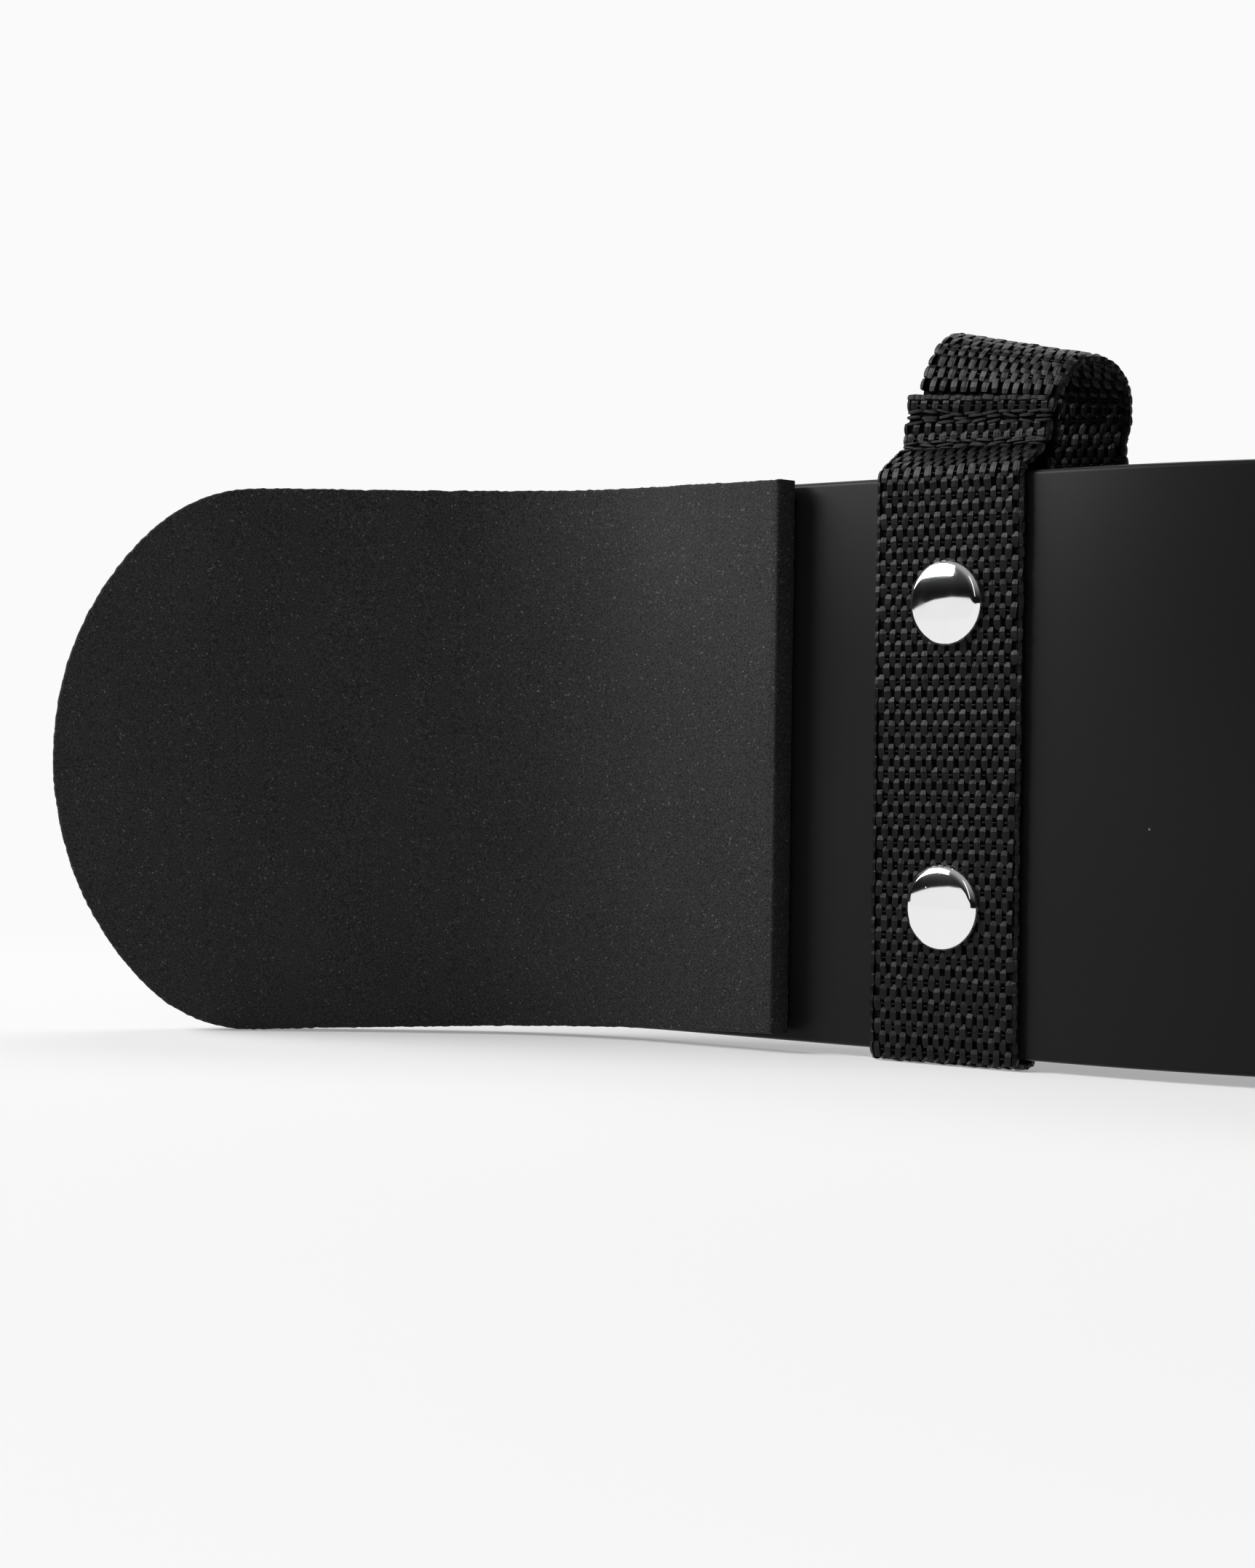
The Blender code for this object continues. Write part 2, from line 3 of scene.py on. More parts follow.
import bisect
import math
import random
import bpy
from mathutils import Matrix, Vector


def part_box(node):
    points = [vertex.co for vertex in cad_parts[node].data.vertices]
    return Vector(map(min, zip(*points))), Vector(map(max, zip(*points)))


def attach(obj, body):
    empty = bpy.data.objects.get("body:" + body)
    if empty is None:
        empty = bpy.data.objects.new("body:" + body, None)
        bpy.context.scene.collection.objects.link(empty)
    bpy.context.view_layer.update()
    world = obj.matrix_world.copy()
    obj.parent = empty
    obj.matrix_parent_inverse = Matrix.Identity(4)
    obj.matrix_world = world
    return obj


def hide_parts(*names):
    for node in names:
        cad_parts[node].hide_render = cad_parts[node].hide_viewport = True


bl_info = {
    "name": "Arm blaster looks",
    "version": (1, 0, 0),
    "blender": (4, 5, 0),
    "location": "View3D > Sidebar > Arm blaster",
    "description": "Dresses the solids of an arm blaster with its plate, foam, webbing and rivet caps",
    "category": "Object",
}

import bmesh
import bpy
from bpy.props import FloatProperty, FloatVectorProperty, IntProperty, PointerProperty
from mathutils import Matrix, Vector, noise

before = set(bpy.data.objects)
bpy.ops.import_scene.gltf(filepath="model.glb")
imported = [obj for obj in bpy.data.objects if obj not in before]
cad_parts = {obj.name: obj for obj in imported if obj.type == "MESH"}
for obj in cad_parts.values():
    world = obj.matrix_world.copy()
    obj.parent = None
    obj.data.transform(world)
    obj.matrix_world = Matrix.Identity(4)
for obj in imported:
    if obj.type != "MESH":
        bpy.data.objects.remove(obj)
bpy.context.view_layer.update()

MM = 0.001
BODY = "support"
SIDES = {"left": -1, "right": 1}
UP = Vector((0, 0, 1))

# Bends of the plate, from its middle outward
BELLY_RADIUS = 145 * MM
FLANK_ANGLE = math.radians(41.2)
FLANK_LENGTH = 84 * MM
ELBOW_RADIUS = 66 * MM
CUP_ANGLE = math.radians(3)
CUP_RADIUS = 420 * MM
CUP_LENGTH = 76 * MM
BELLY_LENGTH = BELLY_RADIUS * FLANK_ANGLE
ELBOW_LENGTH = ELBOW_RADIUS * (FLANK_ANGLE - CUP_ANGLE)
PLATE_HALF = BELLY_LENGTH + FLANK_LENGTH + ELBOW_LENGTH + CUP_LENGTH

# Round ends of the plate and pads
END_BULGE = 29.6 * MM
END_CORNER_RADIUS = 30 * MM

# Places of the plate, from its solid
PLATE_LOW, PLATE_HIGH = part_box("plate")
PLATE_BOTTOM = PLATE_LOW[2]
PLATE_TOP = PLATE_HIGH[2]
PLATE_FRONT = PLATE_LOW[1]
PLATE_THICKNESS = 2.5 * MM
GAP = 0.3 * MM

# Pads
PAD_BACK = 1.0 * MM
PAD_THICKNESS = 5 * MM
PAD_HEIGHT = 99 * MM
PAD_OVERHANG = 1.9 * MM
PAD_NOSE_LIFT = 1 * MM
PAD_RISE = 0.5 * MM
PAD_FOOT = 0.1 * MM
PAD_STRAP_SPACE = 18.8 * MM
RAGGED_STEP = 0.4 * MM

# Webbing and the sling round the plate
WEBBING_WIDTH = 30 * MM
WEBBING_THICKNESS = 1.6 * MM
PRESSED_WIDTH = 31 * MM
STRAP_INSET = 7.2 * MM
STRAP_PLACE = BELLY_LENGTH + STRAP_INSET + WEBBING_WIDTH / 2
PAD_START = STRAP_PLACE + WEBBING_WIDTH / 2 + PAD_STRAP_SPACE
PLY = GAP + WEBBING_THICKNESS / 2
SEAM_SETBACK = 6.5 * MM
SEAM_BASE = 5.3 * MM
SEAM_HEIGHT = 8.3 * MM
SEAM_TOP = PLATE_TOP + SEAM_BASE + SEAM_HEIGHT
SEAM_EASE = 1 * MM
SEAM_KNEE_RADIUS = 4 * MM
CREST_RISE = 0.7 * MM
CREST_RADIUS = 2.1 * MM
BACK_PLY_DROP = 14 * MM
BACK_PLY_RADIUS = 30 * MM
CLOTH_THICKNESS = 0.2 * MM

# Yarn floats: shares of the pitch that they fill, and points across and along each one
FLOAT_FILL = 0.94
FLOAT_REACH = 1.65
FLOAT_TAPER = 0.5
WEFT_RISE = 0.35
EDGE_FILL = 0.95
EDGE_SINK = 0.8
FINE_POINTS = (5, 6)
PLAIN_POINTS = (4, 5)
ROW_INSET = 0.6 * MM
WEAVE_SEED = 11
TONE_SEED = 5

# Sewn end of a sling: rows of floats and bands of stitches, from the cut edge
FLAP_ROWS = (1.4 * MM, 5.2 * MM, 6.8 * MM)
FLAP_LENGTH = 10.4 * MM
FLAP_SHIFT = 0.2 * MM
SEAM_BANDS = ((2.6 * MM, 4.1 * MM), (7.8 * MM, 9.3 * MM))
SEAM_SEED = 29
STITCH_POINTS = (5, 7)
STITCH_RISE = 0.6
STITCH_MARGIN = 1.4 * MM
BEAD_START = 1.1 * MM
BEAD_MARGIN = 0.9 * MM
BEAD_LIFT = 0.25 * MM
BEAD_LAP = 0.6

# Route of the free neck strap: the loop as depth and rise, a leg as place and share of the fall left
LOOP_HEIGHT = 23 * MM
LOOP_LEAN = math.radians(11.5)
LOOP_SHIFT = 3.2 * MM
LOOP_DRIFT = 0.11
LOOP_ROUTE = [
    (depth * MM, rise * MM)
    for depth, rise in (
        (8.5, 17.5),
        (10.6, 21.2),
        (14.0, 23.1),
        (17.8, 23.0),
        (21.4, 21.5),
        (24.2, 18.9),
        (26.0, 15.2),
        (26.9, 10.4),
        (27.0, 4.8),
    )
]
LEG_ROUTE = [
    (sideways * MM, backward * MM, share)
    for sideways, backward, share in (
        (90.0, 16.0, 0.84),
        (88.8, 23.2, 0.64),
        (88.6, 37.8, 0.39),
        (89.6, 59.0, 0.19),
        (92.0, 84.0, 0.06),
        (94.3, 112.0, 0.0),
        (95.0, 134.0, 0.0),
    )
]
NECK_LOOP = 90 * MM
TURN_RADIUS = 95 * MM
RUN_START = 150 * MM
RUN_END = 250 * MM
STRAP_FOOT = 0.4 * MM
SLIDER_LIFT = 2.5 * MM

# Rivets
RIVET_FROM_TOP = 22.3 * MM
RIVET_FROM_BOTTOM = 25.3 * MM
RIVET_HEIGHTS = {"upper": PLATE_TOP - RIVET_FROM_TOP, "lower": PLATE_BOTTOM + RIVET_FROM_BOTTOM}
POST_HOLE = 2.3 * MM
COLLAR_HOLE = 3.1 * MM
CAP_CLEAR = 6.4 * MM
CAP_SHEET = 0.45 * MM
CAP_ROLL = 0.35 * MM
CAP_LIP = 2.9 * MM
CAP_BULGE = 1.0 * MM

# Fineness of the curves, and the angles past which an edge shows as a crease
BEND_STEP = 2.5 * MM
OUTLINE_STEP = 1.5 * MM
PATH_TURN = math.radians(9)
ROUTE_STEP = 2 * MM
TURN_STEPS = 30
SLING_CLOTH_STEP = 1.5 * MM
STRAP_CLOTH_STEP = 2 * MM
RIM_STEPS = 3
HOLE_STEPS = 32
CAP_STEPS = 72
CROWN_STEPS = 18
SHOULDER_STEPS = 8
ROLL_STEPS = 5
SHEET_CREASE = math.radians(50)
CLOTH_CREASE = math.radians(40)
CAP_CREASE = math.radians(45)
FLAT_CREASE = 1
MERGE = 0.001 * MM

# Stage: how far the floor glows, the dim room, the softboxes, the card's upper edge and the camera
FLOOR_HALF = 30
GLOW_NEAR = 0.3
GLOW_START = 0.24
GLOW_FULL = 0.56
ROOM_DARK = 0.006
AMBIENT = 0.05
LIGHT_TARGET = (-0.13, 0, 0.05)
SOFTBOXES = (
    ("left softbox", (-5.2, 0.44, 3.24), (0, -1, 0.2), (4.9, 3.3), 590),
    ("top softbox", (-0.1, 0.8, 1.2), (1, 0, 0), (1.2, 0.5), 5),
    ("front softbox", (-0.36, -0.92, 0.63), UP, (0.75, 0.2), 0.5),
)
CARD_TOPS = (
    (-0.96, 0.15, 0.085),
    (-0.9, 0.07, 0.1),
    (-0.755, -0.1, 0.132),
    (-0.64, -0.235, 0.143),
    (-0.555, -0.335, 0.133),
    (-0.5, -0.4, 0.105),
    (-0.32, -0.6, 0.09),
)
CAMERA_PLACE = (-0.1679, PLATE_FRONT - 0.5009, 0.0503)
CAMERA_ROLL = 0.014
CAMERA_SHIFT = -0.012
SENSOR_WIDTH = 36
NEAREST = 0.01


def grey(level):
    return (level, level, level)


class PlateLook(bpy.types.PropertyGroup):
    """Sizes and colour of the bent plate."""

    edge_round: FloatProperty(
        name="Edge round", description="Radius of the plate's eased rim", default=0.9 * MM, unit="LENGTH"
    )
    colour: FloatVectorProperty(
        name="Coat", description="Colour of the satin coat", default=(0.011, 0.011, 0.0111), subtype="COLOR"
    )


class FoamLook(bpy.types.PropertyGroup):
    """Sizes and colours of the foam pads."""

    edge_round: FloatProperty(
        name="Edge round", description="Radius of the cut foam's edge", default=0.5 * MM, unit="LENGTH"
    )
    ragged: FloatProperty(
        name="Ragged edge", description="Wander of the cut along the rim", default=0.3 * MM, unit="LENGTH"
    )
    colour: FloatVectorProperty(
        name="Foam", description="Colour of the foam's skin", default=grey(0.0225), subtype="COLOR"
    )
    # the specks are painted glints off the foam's grain
    glint_speck_colour: FloatVectorProperty(
        name="Specks", description="Colour of the light specks", default=grey(0.16), subtype="COLOR"
    )


class WebbingLook(bpy.types.PropertyGroup):
    """Sizes and colour of the woven straps."""

    columns: IntProperty(name="Columns", description="Yarn floats across the webbing", default=13, min=5)
    row_pitch: FloatProperty(
        name="Row pitch", description="Distance from row to row of floats", default=2.0 * MM, unit="LENGTH"
    )
    float_height: FloatProperty(
        name="Float height", description="How far a yarn float swells", default=0.85 * MM, unit="LENGTH"
    )
    colour: FloatVectorProperty(
        name="Yarn", description="Colour of the yarn", default=grey(0.003), subtype="COLOR"
    )


class SeamLook(bpy.types.PropertyGroup):
    """Sizes of the sewn seams."""

    thread: FloatProperty(
        name="Thread", description="Width of the sewing thread", default=0.72 * MM, unit="LENGTH"
    )
    stitch_length: FloatProperty(
        name="Stitch length", description="Length of one stitch", default=3.6 * MM, unit="LENGTH"
    )
    sunk: FloatProperty(
        name="Sunk",
        description="How deep the seam pulls into the webbing",
        default=0.42 * MM,
        unit="LENGTH",
    )
    lines: IntProperty(name="Lines", description="Lines of thread in a seam", default=3, min=2)


class CapLook(bpy.types.PropertyGroup):
    """Sizes and colour of the rivet caps."""

    diameter: FloatProperty(
        name="Diameter", description="Outer diameter of a cap", default=15.0 * MM, unit="LENGTH"
    )
    height: FloatProperty(
        name="Height", description="Height of a cap's dome", default=2.6 * MM, unit="LENGTH"
    )
    shoulder: FloatProperty(
        name="Shoulder", description="Radius between the dome and its rim", default=1.5 * MM, unit="LENGTH"
    )
    sunk: FloatProperty(
        name="Sunk", description="How deep a cap presses into the webbing", default=0.8 * MM, unit="LENGTH"
    )
    colour: FloatVectorProperty(
        name="Plating",
        description="Colour of the bright plating",
        default=(0.9, 0.9, 0.91),
        subtype="COLOR",
    )


class StageLook(bpy.types.PropertyGroup):
    """Floor, light and camera."""

    floor_colour: FloatVectorProperty(
        name="Floor", description="Colour of the pale floor", default=grey(0.92), subtype="COLOR"
    )
    background: FloatVectorProperty(
        name="Background", description="Colour of the background", default=grey(0.955), subtype="COLOR"
    )
    lens: FloatProperty(name="Lens", description="Focal length in millimetres", default=91.83, min=10)


def bend_along(distance):
    """Point and heading of the plate's front face, a distance along it from the middle, on the right."""
    x, y, heading = 0.0, PLATE_FRONT, 0.0
    bends = (
        (BELLY_LENGTH, 1 / BELLY_RADIUS),
        (FLANK_LENGTH, 0.0),
        (ELBOW_LENGTH, -1 / ELBOW_RADIUS),
        (CUP_LENGTH + 2 * PAD_OVERHANG, -1 / CUP_RADIUS),
    )
    for length, curvature in bends:
        step = min(distance, length)
        turned = heading + curvature * step
        if curvature:
            x += (math.sin(turned) - math.sin(heading)) / curvature
            y += (math.cos(heading) - math.cos(turned)) / curvature
        else:
            x += step * math.cos(heading)
            y += step * math.sin(heading)
        heading = turned
        distance -= step
    return x, y, heading


def bent(along, depth, height):
    """Place of a point of a flat blank after bending; along is negative on the left half."""
    x, y, heading = bend_along(abs(along))
    x -= depth * math.sin(heading)
    y += depth * math.cos(heading)
    return Vector((math.copysign(x, along), y, height))


def strap_frame(side):
    """Axes at the strap on the plate's front face: along the plate, up, and out to the front."""
    x, y, heading = bend_along(STRAP_PLACE)
    out = Vector((side * math.sin(heading), -math.cos(heading), 0))
    axes = Matrix((UP.cross(out), UP, out)).transposed().to_4x4()
    axes.translation = (side * x, y, 0)
    return axes


def arc(centre, radius, start, stop):
    """Points on an arc, its ends included."""
    count = math.ceil(radius * abs(stop - start) / OUTLINE_STEP)
    angles = [start + (stop - start) * step / count for step in range(count + 1)]
    return [(centre[0] + radius * math.cos(a), centre[1] + radius * math.sin(a)) for a in angles]


def round_end(tip, low, high):
    """Outline round an end that points outward, from its lower to its upper edge."""
    half = (high - low) / 2
    middle = low + half
    arc_radius = (half**2 + END_BULGE**2) / (2 * END_BULGE)
    rise = half - END_CORNER_RADIUS
    reach = arc_radius - END_CORNER_RADIUS
    lean = math.asin(rise / reach)
    corner = tip - arc_radius + reach * math.cos(lean)
    lower = arc((corner, middle - rise), END_CORNER_RADIUS, -math.pi / 2, -lean)
    nose = arc((tip - arc_radius, middle), arc_radius, -lean, lean)
    upper = arc((corner, middle + rise), END_CORNER_RADIUS, lean, math.pi / 2)
    return lower + nose[1:-1] + upper


def plate_outline():
    """Outline of the flat plate blank, round at both ends."""
    right = round_end(PLATE_HALF, PLATE_BOTTOM, PLATE_TOP)
    return right + [(-along, height) for along, height in reversed(right)]


def pad_outline():
    """Outline of the right pad: square at the strap, round at the tip, flared down to the ground."""
    top = PLATE_TOP + PAD_RISE
    tip = PLATE_HALF + PAD_OVERHANG
    end = round_end(tip, top - PAD_HEIGHT, top)
    corner = end[0][0]
    flare = ((top - PAD_FOOT) / PAD_HEIGHT - 1) / (corner - PAD_START)
    outline = []
    for along, height in end + [(PAD_START, top), (PAD_START, top - PAD_HEIGHT)]:
        nose = max(along - corner, 0) / (tip - corner)
        fall = (top - height) * (1 + flare * (along - PAD_START))
        outline.append((along, top - fall + PAD_NOSE_LIFT * nose**2))
    return outline


def subdivided(outline, step):
    """The same closed outline with points no further apart than a step."""
    result = []
    for first, second in zip(outline, outline[1:] + outline[:1]):
        start, stop = Vector(first), Vector(second)
        count = max(1, math.ceil((stop - start).length / step))
        result += [start.lerp(stop, i / count) for i in range(count)]
    return result


def ragged(outline, wander):
    """The same outline with its cut wandering in and out a little; it never grows past the sheet."""
    result = []
    for index, point in enumerate(outline):
        ahead = outline[(index + 1) % len(outline)] - outline[index - 1]
        inward = Vector((-ahead.y, ahead.x)).normalized()
        spot = Vector((point.x, 0, point.y)) / MM
        shift = 0.5 + 0.3 * noise.noise(spot * 0.25) + 0.5 * noise.noise(spot * 1.1)
        result.append(point + inward * wander * shift)
    return result


def mesh_of(name, shape, sharp_angle):
    """A shaded mesh of a finished shape, with its faces pointing out."""
    bmesh.ops.recalc_face_normals(shape, faces=shape.faces)
    mesh = bpy.data.meshes.new(name)
    shape.to_mesh(mesh)
    shape.free()
    mesh.shade_smooth()
    mesh.set_sharp_from_angle(angle=sharp_angle)
    return mesh


def bent_sheet(name, outline, front, back, edge_round, side, start):
    """Mesh of a flat sheet cut to an outline, eased along its rim and bent with the plate."""
    shape = bmesh.new()
    face = shape.faces.new([shape.verts.new((along, front, height)) for along, height in outline])
    raised = bmesh.ops.extrude_face_region(shape, geom=[face])["geom"]
    corners = [item for item in raised if isinstance(item, bmesh.types.BMVert)]
    bmesh.ops.translate(shape, verts=corners, vec=(0, back - front, 0))
    bmesh.ops.recalc_face_normals(shape, faces=shape.faces)
    rim = [edge for edge in shape.edges if abs(edge.verts[0].co.y - edge.verts[1].co.y) < GAP]
    bmesh.ops.bevel(shape, geom=rim, offset=edge_round, segments=RIM_STEPS, profile=0.5, affect="EDGES")
    reach = max(along for along, height in outline)
    count = math.ceil((reach - start) / BEND_STEP)
    for step in range(1, count):
        everything = shape.verts[:] + shape.edges[:] + shape.faces[:]
        place = start + (reach - start) * step / count
        bmesh.ops.bisect_plane(
            shape, geom=everything, dist=GAP / 100, plane_co=(place, 0, 0), plane_no=(1, 0, 0)
        )
    for vertex in shape.verts:
        vertex.co = bent(side * vertex.co.x, vertex.co.y, vertex.co.z)
    return mesh_of(name, shape, SHEET_CREASE)


def rounded_path(corners):
    """Points along straight runs between corners, each given as depth, height and corner radius."""
    points = [Vector(corners[0][:2])]
    for before, corner, after in zip(corners, corners[1:], corners[2:]):
        here = Vector(corner[:2])
        inward = (here - Vector(before[:2])).normalized()
        outward = (Vector(after[:2]) - here).normalized()
        turn = inward.angle_signed(outward)
        half = abs(turn) / 2
        start = here - inward * corner[2] * math.tan(half)
        centre = here + (outward - inward).normalized() * corner[2] / math.cos(half)
        count = math.ceil(abs(turn) / PATH_TURN)
        for step in range(count + 1):
            points.append(centre + Matrix.Rotation(-turn * step / count, 2) @ (start - centre))
    points.append(Vector(corners[-1][:2]))
    return points


def strap_station(side, depth, height):
    """Centre and width direction of the webbing near the plate, at a depth and height."""
    axes = strap_frame(side)
    inward = -side * axes.col[0].to_3d()
    share = min(max((height - PLATE_TOP) / LOOP_HEIGHT, 0), 1)
    lean = LOOP_LEAN * share**2
    shift = LOOP_SHIFT * share**1.2 + LOOP_DRIFT * max(depth - LOOP_ROUTE[0][0], 0)
    centre = axes.translation - axes.col[2].to_3d() * depth + inward * shift + UP * height
    return centre, inward * math.cos(lean) - UP * math.sin(lean)


def sling_route(side):
    """Stations of a sling from its sewn end down the front, under the plate and up its back."""
    seam_low = PLATE_TOP + SEAM_BASE
    under = WEBBING_THICKNESS / 2
    back = PLATE_THICKNESS + PLY
    corners = (
        (SEAM_SETBACK - PLY, SEAM_TOP),
        (SEAM_SETBACK - PLY, seam_low, SEAM_KNEE_RADIUS),
        (-PLY, PLATE_TOP + CREST_RISE, CREST_RADIUS),
        (-PLY, under, PLY),
        (back, under, PLY),
        (back, PLATE_TOP - BACK_PLY_DROP, BACK_PLY_RADIUS),
        (SEAM_SETBACK + PLY, seam_low, BACK_PLY_RADIUS),
        (SEAM_SETBACK + PLY, SEAM_TOP),
    )
    route = [strap_station(side, depth, height) for depth, height in rounded_path(corners)]
    lowest = min(range(len(route)), key=lambda index: route[index][0].z)
    for centre, width in route[:lowest]:
        share = max(centre.z - PLATE_TOP, 0) / (SEAM_TOP - PLATE_TOP)
        centre -= width * FLAP_SHIFT * share
    return route


def smooth_line(controls):
    """Stations on a smooth curve through control stations; the last control only steers the end."""
    stations = [controls[0]]
    padded = [controls[0]] + controls
    for before, here, after, beyond in zip(padded, padded[1:], padded[2:], padded[3:]):
        count = math.ceil((after[0] - here[0]).length / ROUTE_STEP)
        for step in range(1, count + 1):
            t = step / count
            weights = (
                (2 * t**2 - t - t**3) / 2,
                (3 * t**3 - 5 * t**2 + 2) / 2,
                (4 * t**2 + t - 3 * t**3) / 2,
                (t**3 - t**2) / 2,
            )
            near = (before, here, after, beyond)
            centre = sum((weight * control[0] for weight, control in zip(weights, near)), Vector())
            width = sum((weight * control[1] for weight, control in zip(weights, near)), Vector())
            stations.append((centre, width))
    return stations


def neck_half(side):
    """Stations of the neck strap from a seam, over the loop and down the leg, to the straight run's end."""
    seam = SEAM_SETBACK + PLY
    route = [(seam, SEAM_TOP + GAP), (seam, SEAM_TOP + GAP + SEAM_EASE)]
    route += [(depth, PLATE_TOP + rise) for depth, rise in LOOP_ROUTE]
    controls = [strap_station(side, depth, height) for depth, height in route]
    inward = controls[-1][1]
    ground = WEBBING_WIDTH / 2 + STRAP_FOOT + (SLIDER_LIFT if side > 0 else 0)
    fall = controls[-1][0].z - ground
    for sideways, backward, share in LEG_ROUTE:
        width = (inward * share - UP * (1 - share)).normalized()
        controls.append((Vector((side * sideways, backward, ground + fall * share)), width))
    run = [(Vector((side * TURN_RADIUS, y, ground)), -UP) for y in (RUN_START, RUN_END)]
    return smooth_line(controls + run) + run[1:]


def neck_route():
    """Stations of the neck strap from the right seam, round the turn, to the left seam."""
    right = neck_half(SIDES["right"])
    left = neck_half(SIDES["left"])
    turn = []
    for step in range(1, TURN_STEPS):
        angle = math.pi * step / TURN_STEPS
        share = (1 + math.cos(angle)) / 2
        height = left[-1][0].z + (right[-1][0].z - left[-1][0].z) * share
        place = (TURN_RADIUS * math.cos(angle), RUN_END + TURN_RADIUS * math.sin(angle), height)
        turn.append((Vector(place), -UP))
    return right + turn + left[::-1]


class Band:
    """A flat band along a route of stations, read at any distance from its start."""

    def __init__(self, route):
        self.centres = [centre for centre, width in route]
        self.widths = [width for centre, width in route]
        self.marks = [0.0]
        for first, second in zip(self.centres, self.centres[1:]):
            self.marks.append(self.marks[-1] + (second - first).length)
        self.length = self.marks[-1]

    def place(self, distance):
        """Centre and width direction at a distance."""
        index = min(max(bisect.bisect_right(self.marks, distance) - 1, 0), len(self.marks) - 2)
        share = (distance - self.marks[index]) / (self.marks[index + 1] - self.marks[index])
        centre = self.centres[index].lerp(self.centres[index + 1], share)
        return centre, self.widths[index].lerp(self.widths[index + 1], share)

    def station(self, distance):
        """Centre, forward, width and normal directions at a distance."""
        reach = 0.4 * MM
        centre, width = self.place(distance)
        before = self.place(max(distance - reach, 0))[0]
        after = self.place(min(distance + reach, self.length))[0]
        forward = (after - before).normalized()
        width = width.normalized()
        return centre, forward, width, forward.cross(width).normalized()


def band_mesh(name, band, width, thickness, step):
    """Mesh of the band's ground cloth, under the yarn floats."""
    side = width / 2
    face = thickness / 2
    section = [(side, 0), (side - face, face), (face - side, face), (-side, 0)]
    section += [(face - side, -face), (side - face, -face)]
    shape = bmesh.new()
    rings = []
    count = math.ceil(band.length / step)
    for index in range(count + 1):
        centre, forward, across, normal = band.station(band.length * index / count)
        rings.append([shape.verts.new(centre + across * a + normal * t) for a, t in section])
    for first, second in zip(rings, rings[1:]):
        for corner in range(len(section)):
            beside = (corner + 1) % len(section)
            shape.faces.new((first[corner], first[beside], second[beside], second[corner]))
    shape.faces.new(reversed(rings[0]))
    shape.faces.new(rings[-1])
    return mesh_of(name, shape, CLOTH_CREASE)


class Value:
    """A socket with arithmetic: each operator adds a Math node to its tree."""

    def __init__(self, nodes, socket):
        self.nodes = nodes
        self.socket = socket

    def __add__(self, other):
        return self.nodes.math("ADD", self, other)

    def __radd__(self, other):
        return self.nodes.math("ADD", other, self)

    def __sub__(self, other):
        return self.nodes.math("SUBTRACT", self, other)

    def __rsub__(self, other):
        return self.nodes.math("SUBTRACT", other, self)

    def __mul__(self, other):
        return self.nodes.math("MULTIPLY", self, other)

    def __rmul__(self, other):
        return self.nodes.math("MULTIPLY", other, self)

    def __pow__(self, other):
        return self.nodes.math("POWER", self, other)

    def __abs__(self):
        return self.nodes.math("ABSOLUTE", self)

    def root(self):
        return self.nodes.math("SQRT", self)

    def ramp(self, low, high):
        """From 0 at low to 1 at high, eased."""
        limits = {"Value": self, "From Min": low, "From Max": high}
        return self.nodes.add("ShaderNodeMapRange", {"interpolation_type": "SMOOTHSTEP"}, limits)


class Nodes:
    """Adds nodes to a tree; an input is a number, a colour or a Value."""

    def __init__(self, tree):
        self.tree = tree

    def add(self, kind, settings=None, inputs=None, output=0):
        """A node of a kind with its settings and inputs, as the Value of one output."""
        node = self.tree.nodes.new(kind)
        for name, value in (settings or {}).items():
            setattr(node, name, value)
        for name, value in (inputs or {}).items():
            if isinstance(value, Value):
                self.tree.links.new(value.socket, node.inputs[name])
            else:
                node.inputs[name].default_value = value
        return Value(self, node.outputs[output])

    def math(self, operation, *values):
        return self.add("ShaderNodeMath", {"operation": operation}, dict(enumerate(values)))

    def vector(self, x, y, z):
        return self.add("ShaderNodeCombineXYZ", None, {"X": x, "Y": y, "Z": z})

    def parts(self, vector):
        """The three numbers of a vector."""
        split = self.add("ShaderNodeSeparateXYZ", None, {"Vector": vector}).socket.node
        return [Value(self, output) for output in split.outputs]

    def noise(self, vector, scale, detail=2.0):
        settings = {"Vector": vector, "Scale": scale, "Detail": detail}
        return self.add("ShaderNodeTexNoise", None, settings, "Fac")

    def blend(self, share, first, second):
        """A colour between two colours."""
        settings = {"data_type": "RGBA"}
        return self.add("ShaderNodeMix", settings, {0: share, 6: first, 7: second}, 2)


class Finish(Nodes):
    """A Principled material whose varying sockets are set by Values."""

    def __init__(self, name, **sockets):
        self.material = bpy.data.materials.new(name)
        self.material.use_nodes = True
        super().__init__(self.material.node_tree)
        self.shader = self.tree.nodes["Principled BSDF"]
        self.place = self.add("ShaderNodeTexCoord", output="Object")
        for socket, value in sockets.items():
            self.shader.inputs[socket.replace("_", " ")].default_value = value

    def set(self, **values):
        """Link Values to the shader's sockets and give back the material."""
        for socket, value in values.items():
            self.tree.links.new(value.socket, self.shader.inputs[socket.replace("_", " ")])
        return self.material

    def mottle(self, scale, detail=2.0):
        """Noise over the piece itself."""
        return self.noise(self.place, scale, detail)

    def cells(self, scale):
        """Distance to the nearest of scattered points of the piece."""
        return self.add("ShaderNodeTexVoronoi", None, {"Vector": self.place, "Scale": scale}, "Distance")

    def shades(self, share, value, first, second):
        """A colour between two strengths of one colour."""
        return self.blend(share, colour(value, first), colour(value, second))

    def bump(self, height, distance, strength):
        settings = {"Height": height, "Distance": distance, "Strength": strength}
        return self.add("ShaderNodeBump", None, settings)

    def surface(self, shader):
        """Show a shader that takes the place of the Principled one."""
        output = self.tree.nodes["Material Output"]
        self.tree.links.new(shader.socket, output.inputs["Surface"])


def colour(value, strength=1.0):
    """A colour with its alpha, at a strength."""
    return (*(strength * part for part in value), 1.0)


